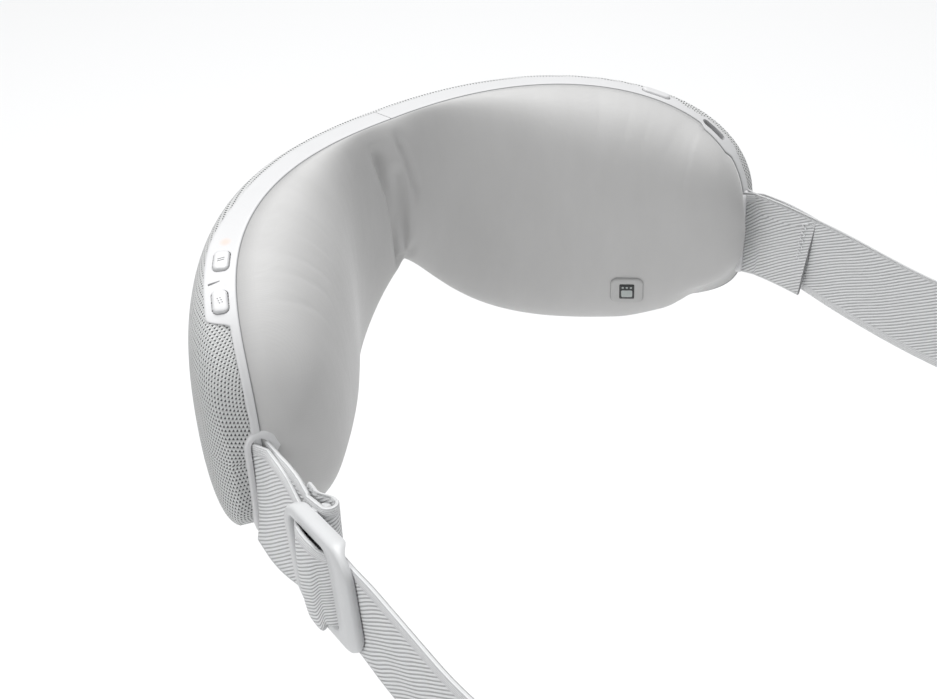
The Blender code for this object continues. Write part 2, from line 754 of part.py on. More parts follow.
def build_motor(side):
    """A coin motor in a rubber ring: an open can, with a half-round weight that spins in it."""
    word = side_name(side)
    frame = normal_frame(side, MOTOR_ALONG, MOTOR_Z, MOTOR_DEPTH)
    case = show(rod(f"vibration_motor_{word}", MOTOR_RADIUS, MOTOR_THICK, frame, 20), STEEL)
    inside = cutter(rod(f"motor_hollow_{word}", MOTOR_RADIUS - MOTOR_WALL, MOTOR_THICK, frame, 20))
    inside.data.transform(Matrix.Translation((0, 0, MOTOR_WALL)))
    combine(case, inside, "DIFFERENCE")
    weight_radius = MOTOR_RADIUS - MOTOR_WALL - GAP
    weight_thick = MOTOR_THICK - 2 * MOTOR_WALL - GAP
    weight = rod(f"eccentric_weight_{word}", weight_radius, weight_thick, frame, 20)
    light_half = cutter(block(f"weight_cut_{word}", (4 * weight_radius, 2 * weight_radius, MOTOR_THICK), frame))
    light_half.data.transform(Matrix.Translation((0, -weight_radius, 0)))
    combine(weight, light_half, "DIFFERENCE")
    hub = cutter(rod(f"weight_hub_{word}", weight_radius / 4, weight_thick, frame, 12))
    combine(weight, hub, "UNION")
    show(weight, STEEL)
    ring = show(rod(f"motor_cradle_{word}", MOTOR_RADIUS + GAP + CRADLE_WALL, CRADLE_THICK, frame, 20), RUBBER)
    bore = cutter(rod(f"motor_cradle_bore_{word}", MOTOR_RADIUS + GAP, 2 * CRADLE_THICK, frame, 20))
    combine(ring, bore, "DIFFERENCE")


def build_insides():
    flat_box("battery", -1, 0.0605, 0.0125, 0.0015, (0.0340, 0.0210, 0.0046), FOIL)
    flat_box("control_board", -1, 0.0955, 0.0180, 0.0010, (0.0230, 0.0200, 0.0010), BOARD_GREEN, 0.0)
    flat_box("air_pump", 1, 0.0590, 0.0125, -0.0004, (0.0260, 0.0160, 0.0088), STEEL)
    flat_box("air_valve", 1, 0.0850, 0.0125, 0.0004, (0.0120, 0.0090, 0.0070), STEEL)
    board = rim_frame(1, 0.0938, 0.0026, 0.0053)
    show(block("button_board", (0.0200, 0.0024, 0.0008), board), BOARD_GREEN)
    show(rod("light_pipe_left", 0.0008, 0.0030, rim_frame(1, 0.0798, 0.0030, 0.0040), 10), CLEAR)
    show(rod("light_pipe_right", 0.0008, 0.0030, rim_frame(-1, 0.0845, 0.0030, 0.0040), 10), CLEAR)
    for side in (1, -1):
        word = side_name(side)
        air = [(0.0440, 0.0085), (0.0340, 0.0085), (0.0200, 0.0110), (0.0004, 0.0125)]
        if side < 0:
            air[0] = (0.0410, -0.0020)
            air.insert(0, (0.0560, -0.0030))
        knots = [place(side, along, z, 0.0018) for along, z in air]
        show(tube(f"air_tube_{word}", smooth_path(knots, 12), 0.0012), CLEAR)
        wire = [(0.0780, 0.0290), (0.0520, 0.0300), (0.0260, 0.0325), (0.0004, 0.0300)]
        knots = [place(side, along, z, 0.0012) for along, z in wire]
        show(tube(f"wire_harness_{word}", smooth_path(knots, 12), 0.0008), RUBBER)


# ---------------------------------------------------------------- the sensor in the right cushion
SENSOR_ALONG = 0.0856
SENSOR_Z = -0.0095
SENSOR_SIZE = (0.0098, 0.0100, 0.0022)
WINDOW_SIZE = (0.0046, 0.0062, 0.0007)


def cushion_frame(side, along, z, sink):
    """A frame on the cushion's surface: X along, Y up, Z straight out of it."""
    step = 0.001

    def at(a, b):
        return place(side, a, b, seam(a) + cushion_height(a, b))

    x_axis = (at(along + step, z) - at(along - step, z)) * -side
    lift = at(along, z + step) - at(along, z - step)
    out = x_axis.cross(lift).normalized()
    matrix = axes(at(along, z), x_axis, out.cross(x_axis))
    return matrix @ Matrix.Translation((0, 0, -sink))


def build_sensor(cushion):
    long, tall, thick = SENSOR_SIZE
    frame = cushion_frame(-1, SENSOR_ALONG, SENSOR_Z, thick / 2 - 0.0002)
    room = (long + 2 * GAP, tall + 2 * GAP, 0.0120)
    combine(cushion, cutter(pill("sensor_room", room, frame @ Matrix.Translation((0, 0, 0.0024)), 0.0022)), "DIFFERENCE")
    housing = pill("sensor_housing", SENSOR_SIZE, frame, 0.0022)
    wide, high, deep = WINDOW_SIZE
    top = frame @ Matrix.Translation((0, 0, thick / 2 - deep / 2))
    seat = cutter(pill("sensor_window_seat", (wide + GAP, high + GAP, deep + GAP), top, 0.0009))
    combine(housing, seat, "DIFFERENCE")
    show(housing, CUSHION_GREY)
    show(pill("sensor_window", (wide - GAP / 2, high - GAP / 2, deep - GAP / 2), top, 0.0008), DARK)
    board = frame @ Matrix.Translation((0, 0, -thick / 2 - 0.0009))
    show(block("sensor_board", (0.0080, 0.0080, 0.0008), board), BOARD_GREEN)


# ---------------------------------------------------------------- the whole mask
def build_half(side):
    build_front(side)
    rim = build_rim(side)
    plate = build_plate(side)
    cushion = build_cushion(side)
    build_air_and_heat(side, cushion)
    build_anchor(side, [rim, plate, cushion])
    build_hinge(side)
    build_strap(side)
    build_motor(side)
    if side < 0:
        build_port(rim, plate)
        build_sensor(cushion)


for half in (1, -1):
    build_half(half)
for button in RIM_BUTTONS:
    build_button(button)
buckle, buckle_frame = build_buckle()
build_centre_bar(buckle, buckle_frame)
build_insides()
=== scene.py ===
"""The looks of an eye massager mask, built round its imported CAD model.

Metres, +Z up, in the CAD's frame: the mesh front faces -Y, the cushions face +Y, and +X is the wearer's left.
A point of the mask is given as along (signed, following the curved rim from the centre), z, and depth in
towards the wearer, and place() turns it into X, Y, Z.
"""

import math

import bmesh
import bpy
import numpy as np
from mathutils import Matrix, Vector


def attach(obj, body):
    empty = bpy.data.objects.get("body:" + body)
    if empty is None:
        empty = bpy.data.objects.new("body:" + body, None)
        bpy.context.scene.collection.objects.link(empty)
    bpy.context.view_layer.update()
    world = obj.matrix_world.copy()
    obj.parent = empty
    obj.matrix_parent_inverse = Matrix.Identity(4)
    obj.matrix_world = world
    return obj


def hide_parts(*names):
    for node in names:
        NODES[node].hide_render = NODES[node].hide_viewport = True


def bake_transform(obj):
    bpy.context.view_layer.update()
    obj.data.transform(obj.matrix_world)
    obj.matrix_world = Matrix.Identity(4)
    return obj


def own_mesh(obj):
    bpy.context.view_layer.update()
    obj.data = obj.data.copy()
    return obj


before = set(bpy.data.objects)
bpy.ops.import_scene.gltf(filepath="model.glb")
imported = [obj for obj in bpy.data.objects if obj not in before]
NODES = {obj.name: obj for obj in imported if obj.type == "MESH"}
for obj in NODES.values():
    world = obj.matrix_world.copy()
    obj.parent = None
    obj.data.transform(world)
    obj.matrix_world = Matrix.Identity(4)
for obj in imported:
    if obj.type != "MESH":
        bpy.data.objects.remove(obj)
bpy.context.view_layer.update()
MM = 0.001

# --- the outline and the curve of the mask, as the CAD has them ---
HALF_LENGTH = 0.1232
TOP_HEIGHT = 0.0504
TOP_POWER = 3.21
LOW_HEIGHT = 0.0292
LOW_POWER = 3.5
NOTCH_RISE = 0.0351
NOTCH_WIDTH = 0.0256
NOTCH_POWER = 1.38
END_TURN = 1.241
TURN_POWER = 1.2103
TURN_LATE = -0.1066
CORNER_SHARE = 0.93

# --- rim ---
RIM_FRONT = 0.0003
SEAM_MID = 0.00825
SEAM_END = 0.0065
SEAM_GROWS = 0.00066
PANEL_START, PANEL_FULL, PANEL_END = 0.0600, 0.0850, 0.1048
PANEL_FRONT = -0.0014
STRIP_FRONT = 0.0043
PATCH_START, PATCH_END = 0.0972, 0.1064
RIGHT_STRIP = 0.0022
PORT_FRONT = 0.0010
RIM_COUNT = 420
RIM_SECTION = (
    # inset, and how far the point lies from the front edge or, with False, from the seam
    (0.00160, 0.00080, True), (0.00060, 0.00012, True), (0.00028, 0.00002, True), (0.00010, 0.00012, True),
    (0.0, 0.00040, True), (0.0, 0.00100, True), (0.0, -0.00140, False), (0.0, -0.00060, False),
    (0.00004, -0.00026, False), (0.00018, -0.00008, False), (0.00040, 0.0, False), (0.00160, 0.0, False),
)
PORT_BUMP = 0.0016
PORT_START, PORT_END = 0.1080, 0.1168
PORT_RAMP = 0.0010
# along, depth, length and thickness
PORT = (0.1110, 0.0042, 0.0086, 0.0028)

# the dark strip that paints the shade in the seam's gap: inset, and how far the point lies from the seam
SHADOW_STRIP_SECTION = (
    (0.00030, -0.0004), (0.00020, 0.00002), (0.00024, 0.00010), (0.0012, 0.0004), (0.0012, -0.0004),
)

# --- front ---
FRONT_BULGE = 0.0109
FRONT_ROUND = 0.0486
FRONT_POWER = 1.92
MESH_COLUMNS, MESH_ROWS = 240, 100
WALL_DEPTHS = (0.0006, 0.0014, 0.0024, 0.0036, 0.0048, 0.0058)
HOLE_ACROSS = 0.95
HOLE_DOWN = 1.15

# --- cushion ---
CUSHION_THICK = 0.0283
CUSHION_THICK_MID = 0.0030
CUSHION_THICK_END = 0.0257
CUSHION_VALLEY = 0.0450
CUSHION_ROUND = 0.0353
CUSHION_POWER = 2.5
CUSHION_EDGE = 0.0012
CUSHION_BULGE = 0.0010
END_SWELL = 2.6
LOW_TUCK = 2.4
LOW_TUCK_RIGHT = 3.4
CENTRE_RAISE = 0.0042
CENTRE_WIDE = 0.0090
HINGE_CLEAR = 0.0110
HINGE_CLEAR_BESIDE = 0.0090
SEAM_GAP = 0.00010
CENTRE_POWER = 1.9
CENTRE_REACH = 0.030
CORNER_RAISE = 0.0036
CUSHION_COLUMNS, CUSHION_ROWS = 360, 150
FOLDS = (
    # depth, width, softness of the wide side, and (along, z) points from the top down
    (0.0034, 0.0010, 3.2, (
        (0.0103, 0.0470), (0.0090, 0.0398), (0.0066, 0.0300), (0.0056, 0.0188), (0.0048, 0.0080),
    )),
    (0.0022, 0.0019, 1.5, ((0.0030, 0.0400), (0.0022, 0.0340), (0.0022, 0.0233), (0.0024, 0.0080))),
    (0.0016, 0.0010, 2.0, ((0.0015, 0.0485), (-0.0002, 0.0423), (-0.0025, 0.0352), (-0.0040, 0.0270))),
    (0.0004, 0.0010, 1.5, ((0.0225, 0.0492), (0.0218, 0.0465))),
    (0.0012, 0.0013, 1.5, ((-0.0024, 0.0140), (-0.0010, 0.0065))),
)
PUCKERS = ((0.0640, 0.0450), (0.0740, 0.0430), (0.0850, 0.0400), (0.0925, 0.0360), (0.1020, 0.0300))
PUCKER_LONG = 0.0130
PUCKER_DEEP = 0.00022
PUCKER_WIDE = 0.0013
# along, z, the pad's length and height, and the window's length and height
SENSOR = (0.0856, -0.0095, 0.0098, 0.0100, 0.0046, 0.0062)

# --- buttons ---
BUTTON_PROUD = 0.0008
BUTTONS = {
    # side, along, depth, length, width, corner radius, and the body that it rides on
    "intensity_button": (1, 0.0873, 0.0029, 0.0069, 0.0041, 0.0014, "intensity_button"),
    "mode_button": (1, 0.1005, 0.0027, 0.0069, 0.0040, 0.0014, "mode_button"),
    "power_button": (-1, 0.0917, 0.0026, 0.0086, 0.0030, 0.0014, "power_button"),
}

# --- strap, anchors and buckle ---
BAND_WIDE = 0.0270
BAND_WALL = 0.0012
BAND_HEADING = {1: math.radians(9.5), -1: math.radians(3.0)}
BAND_CLIMB = {1: 0.045, -1: -0.050}
BAND_LIFT = {1: -0.0006, -1: 0.0040}
FRAME_LIFT = {1: -0.0006, -1: 0.0034}
BAND_STRAIGHT = 0.0820
BAND_BACK = 0.2560
BAND_BACK_DROP = 0.0120
BAND_SEWN_RIGHT = 0.0260
INNER_APART = {1: 0.0002, -1: 0.0003}
INNER_LIFT = {1: 0.0034, -1: 0.0}
LEFT_ROLL = math.radians(-12)
RIGHT_ROLL = math.radians(6)
SEWN_IN = 0.0030
STITCH_PITCH = 0.0011
STITCH_WIDE = 0.0022
THREAD = 0.00018
RIB_PITCH = 0.91
RIB_ANGLE = math.radians(34)
SELVEDGE = 2.8
LOW_SELVEDGE = 0.8
PIN_RADIUS = 0.0008
PIN_LONG = 0.0282
GAP = 0.0003
ANCHOR_LOW = -0.0175
ANCHOR_HIGH = 0.0155
ANCHOR_DEPTH = 0.0054
BUCKLE_AT = 0.0450
BUCKLE_RISE = 0.0008
BUCKLE_LONG = 0.0346
BUCKLE_TALL = 0.0286
BUCKLE_WINDOW = 0.0218
BUCKLE_TILT = math.radians(5.3)
THIN_BAR = 0.0034
WIDE_BAR = 0.0102
BUCKLE_UNDER = -0.0006
BUCKLE_TOP = 0.0036
BUCKLE_PASSAGE = 0.0254
PASSAGE_TOP = 0.0015
SIDE_WALL = 0.0014
# x, z, width and thickness, in the buckle's own frame
CENTRE_BAR = (-0.0062, -0.0035, 0.0030, 0.0022)
BUCKLE_CORNER = 0.0078
WINDOW_CORNER = 0.0024
ARCH_HIGH = 0.0036
ARCH_NARROW = 0.0216
ARCH_SPREAD = 0.0042
ARCH_SAG = 0.0014

# --- colours ---
RIM_COLOUR = (0.66, 0.66, 0.665)
BUTTON_COLOUR = (0.66, 0.66, 0.665)
CLOTH_COLOUR = (0.525, 0.521, 0.516)
MESH_COLOUR = (0.70, 0.705, 0.70)
BAND_COLOUR = (0.80, 0.805, 0.81)
MARK_COLOUR = (0.20, 0.20, 0.205)
# painted shade: the dark grey of the strip that stands for the shade in the gap between rim and cushion
SEAM_SHADOW_COLOUR = (0.24, 0.245, 0.25)
LIGHTS = {
    "intensity": ((0.0800, 0.0464, 0.0029), (1.0, 0.42, 0.22)),
    "power": ((-0.0905, 0.0440, 0.0014), (1.0, 0.86, 0.35)),
}
INNER = {
    "shell": ("front_shell", "inner_plate"),
    "rubber": ("motor_cradle", "air_bladder", "wire_harness"),
    "clear": ("light_pipe", "air_tube"),
    "heater": ("heating_pad",),
    "foil": ("battery",),
    "board": ("control_board", "button_board", "sensor_board"),
}

# --- floor, light and camera ---
FLOOR_Z = -0.60
FLOOR_ALBEDO = 0.88
WORLD_COLOUR = (0.96, 0.98, 1.0, 1)
WORLD_STRENGTH = 0.27
LIT_POINT = (0, 0.06, 0.02)
LAMPS = {
    # place, diameter and watts
    "key": ((-0.8, -1.2, 4.0), 3.0, 200),
    "fill": ((1.5, 0.1, 0.8), 1.2, 10),
    "back_fill": ((-0.6, 1.6, 0.9), 1.6, 6),
}
CAMERA_LENS = 59.26
CAMERA_PLACE = (0.23902, 0.34070, 0.23585)
CAMERA_RIGHT = Vector((-0.76616, 0.64128, -0.04179))
CAMERA_UP = Vector((-0.37653, -0.39525, 0.83785))

UP = Vector((0, 0, 1))


# ---------------------------------------------------------------- the curved frame of the mask
def turn(length):
    share = np.abs(length) / HALF_LENGTH
    return END_TURN * ((1 - TURN_LATE) * share**TURN_POWER + TURN_LATE * share**5)


STEPS = np.linspace(0, 1.2 * HALF_LENGTH, 2401)
MIDS = turn((STEPS[1:] + STEPS[:-1]) / 2)
RUN_X = np.concatenate([[0], np.cumsum(np.cos(MIDS) * STEPS[1])])
RUN_Y = np.concatenate([[0], np.cumsum(np.sin(MIDS) * STEPS[1])])


def smooth(low, high, value):
    """A step that rises smoothly from 0 at low to 1 at high."""
    t = np.clip((value - low) / (high - low), 0, 1)
    return t * t * (3 - 2 * t)


def place(along, z, depth):
    """Points of the mask as X, Y, Z, with the cushion's lower right corner raised."""
    along, z, depth = np.broadcast_arrays(*(np.asarray(v, float) for v in (along, z, depth)))
    in_cushion = smooth(0.0070, 0.0120, depth)
    z = z + CORNER_RAISE * smooth(0.101, 0.120, -along) * (1 - smooth(-0.026, -0.004, z)) * in_cushion
    length = np.abs(along)
    heading = turn(length)
    x = np.interp(length, STEPS, RUN_X) - depth * np.sin(heading)
    y = np.interp(length, STEPS, RUN_Y) + depth * np.cos(heading)
    return np.stack([np.where(along < 0, -x, x), y, z], -1)


def along_dir(side, along):
    heading = float(turn(along))
    return Vector((side * math.cos(heading), math.sin(heading), 0))


def depth_dir(side, along):
    heading = float(turn(along))
    return Vector((-side * math.sin(heading), math.cos(heading), 0))


def swell(share, power):
    """A quarter superellipse that rises from 0 to 1."""
    return (1 - (1 - np.clip(share, 0, 1)) ** power) ** (1 / power)


def arch(share, power):
    return np.maximum(1 - np.abs(share) ** power, 0) ** (1 / power)


def notch(along):
    return NOTCH_RISE * np.exp(-((np.abs(along) / NOTCH_WIDTH) ** NOTCH_POWER))


def top_edge(along, inset=0.0):
    return (TOP_HEIGHT - inset) * arch(along / (HALF_LENGTH - inset), TOP_POWER)


def low_edge(along, inset=0.0):
    return -(LOW_HEIGHT - inset) * arch(along / (HALF_LENGTH - inset), LOW_POWER) + notch(along)


def edge_distance(along, z, inset=0.0):
    """About how far a point lies inside the outline."""
    spans = (top_edge(along, inset) - z, z - low_edge(along, inset), HALF_LENGTH - inset - np.abs(along))
    return sum(1 / np.maximum(span, 1e-6) ** 2 for span in spans) ** -0.5


def outward(along, z, inset=0.0):
    """The direction in along and z that leads straight out of the outline."""
    step = 0.0002
    da = edge_distance(along - step, z, inset) - edge_distance(along + step, z, inset)
    dz = edge_distance(along, z - step, inset) - edge_distance(along, z + step, inset)
    size = np.maximum(np.hypot(da, dz), 1e-9)
    return da / size, dz / size


def seam(along, z=0.0):
    """How deep the line between rim and cushion lies. It bends round the charging port at the top right."""
    base = SEAM_MID + (SEAM_END - SEAM_MID) * np.minimum(np.abs(along) / HALF_LENGTH, 1)
    bump = smooth(PORT_START - PORT_RAMP, PORT_START + PORT_RAMP, -along)
    bump = bump * (1 - smooth(PORT_END - PORT_RAMP, PORT_END + PORT_RAMP, -along))
    return base + PORT_BUMP * bump * smooth(0.010, 0.020, z)


# ---------------------------------------------------------------- mesh helpers
def grid_faces(rows, columns, start=0, wrap=False):
    """Quads between rows of numbered vertices. With wrap the last column joins the first."""
    r = np.arange(rows - 1)[:, None]
    c = np.arange(columns if wrap else columns - 1)[None, :]
    after = (c + 1) % columns
    low, high = r * columns, (r + 1) * columns
    quads = np.stack([low + c, low + after, high + after, high + c], -1)
    return (quads.reshape(-1, 4) + start).tolist()


def tube_faces(rows, columns, turned=False):
    """Faces of a tube of rings with a cap at each end. turned: the rings are numbered the other way round."""
    ends = [list(range(columns)), list(range((rows - 1) * columns, rows * columns))[::-1]]
    if turned:
        ends = [end[::-1] for end in ends]
    return grid_faces(rows, columns, wrap=True) + ends


def make(name, verts, faces, uv=None, sharp=None):
    """A mesh object, shaded smooth, with UVs in millimetres where given for each vertex."""
    mesh = bpy.data.meshes.new(name)
    mesh.from_pydata(np.asarray(verts).reshape(-1, 3).tolist(), [], faces)
    mesh.shade_smooth()
    if sharp is not None:
        mesh.set_sharp_from_angle(angle=sharp)
    if uv is not None:
        add_uv(mesh, uv)
    obj = bpy.data.objects.new(name, mesh)
    bpy.context.scene.collection.objects.link(obj)
    return obj


def add_uv(mesh, uv):
    layer = mesh.uv_layers.new(name="mm")
    corners = np.zeros(len(mesh.loops), np.int64)
    mesh.loops.foreach_get("vertex_index", corners)
    layer.data.foreach_set("uv", np.asarray(uv, np.float32).reshape(-1, 2)[corners].ravel())


def turn_faces_out(piece):
    """Turns every face of a closed piece outwards."""
    bm = bmesh.new()
    bm.from_mesh(piece.data)
    bm.normal_update()
    bmesh.ops.recalc_face_normals(bm, faces=bm.faces[:])
    bm.to_mesh(piece.data)
    bm.free()


def moved(matrix, points):
    return np.array([tuple(matrix @ Vector(point)) for point in points])


def distances(points):
    """How far along a line each of its points lies."""
    return np.concatenate([[0], np.cumsum(np.linalg.norm(np.diff(points, axis=0), axis=1))])


def picked(wanted, lengths, points):
    """Points at the wanted distances along a line."""
    return np.column_stack([np.interp(wanted, lengths, values) for values in points.T])


def axes(origin, x_axis, y_axis):
    """A placing matrix from an origin and two perpendicular directions."""
    x_axis = Vector(x_axis).normalized()
    y_axis = Vector(y_axis).normalized()
    matrix = Matrix((x_axis, y_axis, x_axis.cross(y_axis))).transposed().to_4x4()
    matrix.translation = Vector(origin)
    return matrix


def rounded_outline(long, wide, corner, segments=8):
    """Points round a rectangle with round corners, anticlockwise."""
    found = []
    for number, (sx, sy) in enumerate(((1, 1), (-1, 1), (-1, -1), (1, -1))):
        for step in range(segments + 1):
            angle = math.pi / 2 * (number + step / segments)
            x = sx * (long / 2 - corner) + corner * math.cos(angle)
            y = sy * (wide / 2 - corner) + corner * math.sin(angle)
            found.append((x, y))
    return np.array(found)


def button_shape(name, long, wide, corner, levels, matrix, crown=0.0, rings=5):
    """A raised pad: its outline steps in along levels of (inset, height), and its top is slightly crowned."""
    loops = []
    for inset, height in levels:
        flat = rounded_outline(long - 2 * inset, wide - 2 * inset, max(corner - inset, 0.0001))
        loops.append(np.column_stack([flat, np.full(len(flat), height)]))
    top = loops[-1]
    for ring in range(1, rings):
        share = 1 - ring / rings
        lift = crown * (1 - share**2)
        loops.append(np.column_stack([top[:, :2] * share, top[:, 2] + lift]))
    count = len(top)
    verts = np.concatenate(loops)
    faces = grid_faces(len(loops), count, wrap=True)
    last = (len(loops) - 1) * count
    verts = np.vstack([verts, [[0, 0, top[0, 2] + crown]], [[0, 0, levels[0][1]]]])
    centre = len(verts) - 2
    for n in range(count):
        faces.append([last + n, last + (n + 1) % count, centre])
        faces.append([(n + 1) % count, n, centre + 1])
    return make(name, moved(matrix, verts), faces, sharp=math.radians(50))


# ---------------------------------------------------------------- materials
class Paint:
    """A Principled material, and short calls that add the nodes which feed it."""

    def __init__(self, name, colour, roughness, metallic=0.0, **sockets):
        self.material = bpy.data.materials.new(name)
        self.material.use_nodes = True
        self.tree = self.material.node_tree
        self.shader = self.tree.nodes["Principled BSDF"]
        self.set("Base Color", (*colour, 1))
        self.set("Roughness", roughness)
        self.set("Metallic", metallic)
        for socket, value in sockets.items():
            self.set(socket.replace("_", " "), value)

    def set(self, socket, value):
        self.shader.inputs[socket].default_value = value

    def add(self, kind, settings=None, **inputs):
        made = self.tree.nodes.new(kind)
        for key, value in (settings or {}).items():
            setattr(made, key, value)
        for key, value in inputs.items():
            self.plug(made, key.replace("_", " "), value)
        return made

    def plug(self, node, key, value):
        socket = node.inputs[int(key)] if key.isdigit() else node.inputs[key]
        if isinstance(value, bpy.types.NodeSocket):
            self.tree.links.new(value, socket)
        else:
            socket.default_value = value

    def math(self, operation, a, b=None, c=None):
        made = self.add("ShaderNodeMath", {"operation": operation})
        for number, value in enumerate((a, b, c)):
            if value is not None:
                self.plug(made, str(number), value)
        return made.outputs[0]

    def times(self, a, b):
        return self.math("MULTIPLY", a, b)

    def plus(self, a, b):
        return self.math("ADD", a, b)

    def minus(self, a, b):
        return self.math("SUBTRACT", a, b)

    def flat(self, u, v, by_u, by_v):
        """A vector of the UV, each side scaled."""
        made = self.add("ShaderNodeCombineXYZ", X=self.times(u, by_u), Y=self.times(v, by_v))
        return made.outputs["Vector"]

    def where(self):
        """Points in metres on the object itself."""
        return self.add("ShaderNodeTexCoord").outputs["Object"]

    def uv(self):
        """UV across and along, in millimetres."""
        split = self.add("ShaderNodeSeparateXYZ", Vector=self.add("ShaderNodeTexCoord").outputs["UV"])
        return split.outputs["X"], split.outputs["Y"]

    def noise(self, scale, detail=3.0, vector=None, roughness=0.5):
        vector = vector or self.where()
        made = self.add("ShaderNodeTexNoise", Vector=vector, Scale=scale, Detail=detail, Roughness=roughness)
        return made.outputs["Fac"]

    def span(self, value, low, high, to_low, to_high, smooth_step=False):
        kind = "SMOOTHSTEP" if smooth_step else "LINEAR"
        made = self.add("ShaderNodeMapRange", {"interpolation_type": kind}, Value=value)
        for key, number in (("From Min", low), ("From Max", high), ("To Min", to_low), ("To Max", to_high)):
            made.inputs[key].default_value = number
        return made.outputs["Result"]

    def blend(self, factor, colour_a, colour_b):
        made = self.add("ShaderNodeMix", {"data_type": "RGBA"})
        self.plug(made, "0", factor)
        for number, colour in ((6, colour_a), (7, colour_b)):
            value = colour if isinstance(colour, bpy.types.NodeSocket) else (*colour, 1)
            self.plug(made, str(number), value)
        return made.outputs[2]

    def colour(self, value):
        self.tree.links.new(value, self.shader.inputs["Base Color"])

    def rough(self, value):
        self.tree.links.new(value, self.shader.inputs["Roughness"])

    def bump(self, height, distance, strength=1.0, under=None):
        made = self.add("ShaderNodeBump", Height=height, Distance=distance, Strength=strength)
        if under is not None:
            self.tree.links.new(under, made.inputs["Normal"])
        self.tree.links.new(made.outputs["Normal"], self.shader.inputs["Normal"])
        return made.outputs["Normal"]


def shade(colour, factor):
    return tuple(c * factor for c in colour)


def plastic(name, colour, roughness=0.42, grain=0.00003, metallic=0.0, **sockets):
    """Moulded plastic: a very fine grain, and a slightly uneven gloss and tone."""
    paint = Paint(name, colour, roughness, metallic, **sockets)
    mottle = paint.noise(60, 2)
    paint.colour(paint.blend(mottle, shade(colour, 0.97), shade(colour, 1.03)))
    paint.rough(paint.span(paint.noise(900, 3), 0.3, 0.7, roughness - 0.05, roughness + 0.07))
    paint.bump(paint.noise(2600, 2), grain)
    return paint


def metal(name, colour, roughness=0.28):
    """Pressed or turned metal, finely brushed along Z."""
    paint = Paint(name, colour, roughness, 1.0)
    stretch = paint.add("ShaderNodeMapping", Vector=paint.where(), Scale=(3000, 3000, 200))
    brushed = paint.noise(1.0, 3, stretch.outputs["Vector"])
    paint.rough(paint.span(brushed, 0.3, 0.7, roughness - 0.08, roughness + 0.12))
    paint.colour(paint.blend(brushed, shade(colour, 0.88), shade(colour, 1.06)))
    paint.bump(brushed, 0.00001)
    return paint


def give(obj, paint):
    obj.data.materials.clear()
    obj.data.materials.append(paint.material)
    return obj


def dress(piece, paint, body=None, stands_for=()):
    """Gives a piece its material, the body that it rides on and the nodes that it stands for."""
    give(piece, PAINTS[paint])
    if stands_for:
        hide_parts(*stands_for)
    if body:
        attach(piece, body)
    return piece


def rim_paint():
    """Matte plastic with a soft light shining through it beside the buttons."""
    paint = plastic("rim_plastic", RIM_COLOUR, 0.45)
    tone = paint.shader.inputs["Base Color"].links[0].from_socket
    for (along, z, depth), glow in LIGHTS.values():
        point = tuple(float(v) for v in place(along, z, depth))
        gap = paint.add("ShaderNodeVectorMath", {"operation": "DISTANCE"})
        paint.plug(gap, "0", paint.where())
        paint.plug(gap, "1", point)
        near = paint.span(gap.outputs["Value"], 0.0003, 0.0020, 0.30, 0.0, True)
        tone = paint.blend(near, tone, glow)
    paint.colour(tone)
    return paint


def cloth_paint():
    """A silky knit: fine ribs, faint unevenness and a soft sheen."""
    paint = Paint("cushion_cloth", CLOTH_COLOUR, 0.62)
    paint.set("Sheen Weight", 0.25)
    paint.set("Sheen Roughness", 0.40)
    u, v = paint.uv()
    across = paint.math("SINE", paint.times(u, 2 * math.pi / 0.42))
    down = paint.math("SINE", paint.times(v, 2 * math.pi / 0.55))
    weave = paint.times(across, down)
    cloudy = paint.noise(1.0, 4, paint.flat(u, v, 0.06, 0.03), 0.6)
    thread = paint.noise(1.0, 2, paint.flat(u, v, 0.25, 3.0))
    tone = paint.span(cloudy, 0.3, 0.7, 0.0, 1.0)
    paint.colour(paint.blend(tone, shade(CLOTH_COLOUR, 0.965), shade(CLOTH_COLOUR, 1.02)))
    fine = paint.plus(paint.times(weave, 0.5), thread)
    first = paint.bump(fine, 0.00002, 0.6)
    paint.bump(cloudy, 0.0006, 0.5, under=first)
    paint.rough(paint.span(thread, 0.3, 0.7, 0.55, 0.70))
    return paint


def mesh_paint():
    """A spacer knit with rows of small triangular holes between round threads. The holes are painted
    near-black and the groove under each row darker, as painted shade.
    """
    paint = Paint("mesh_fabric", MESH_COLOUR, 0.8)
    paint.set("Sheen Weight", 0.15)
    u, v = paint.uv()
    row = paint.math("DIVIDE", v, HOLE_DOWN)
    odd = paint.math("FRACT", paint.times(paint.math("FLOOR", row), 0.5))
    across = paint.math("FRACT", paint.plus(paint.math("DIVIDE", u, HOLE_ACROSS), odd))
    down = paint.math("FRACT", row)
    sideways = paint.math("ABSOLUTE", paint.minus(across, 0.5))
    width = paint.span(down, 0.14, 0.74, 0.33, 0.04)
    inside = paint.span(paint.minus(width, sideways), -0.05, 0.07, 0.0, 1.0, True)
    rows = paint.times(paint.span(down, 0.10, 0.22, 0, 1, True), paint.span(down, 0.62, 0.76, 1, 0, True))
    hole = paint.times(inside, rows)
    strand = paint.math("SINE", paint.times(across, math.pi))
    ridge = paint.math("SINE", paint.times(down, math.pi))
    height = paint.plus(paint.times(hole, -1.0), paint.times(ridge, -0.35))
    height = paint.plus(height, paint.times(strand, -0.15))
    fuzz = paint.noise(1500, 3)
    thread = paint.blend(fuzz, shade(MESH_COLOUR, 0.88), shade(MESH_COLOUR, 1.10))
    # painted shade: the thread darkens towards the lower edge of each row, in the groove between rows
    groove_shade = paint.times(paint.span(down, 0.80, 1.0, 0, 1, True), 0.45)
    thread = paint.blend(groove_shade, thread, shade(MESH_COLOUR, 0.25))
    # painted shade: the holes are painted near-black for the shade inside them
    paint.colour(paint.blend(hole, thread, (0.035, 0.036, 0.038)))
    paint.bump(height, 0.00045, 0.9)
    return paint


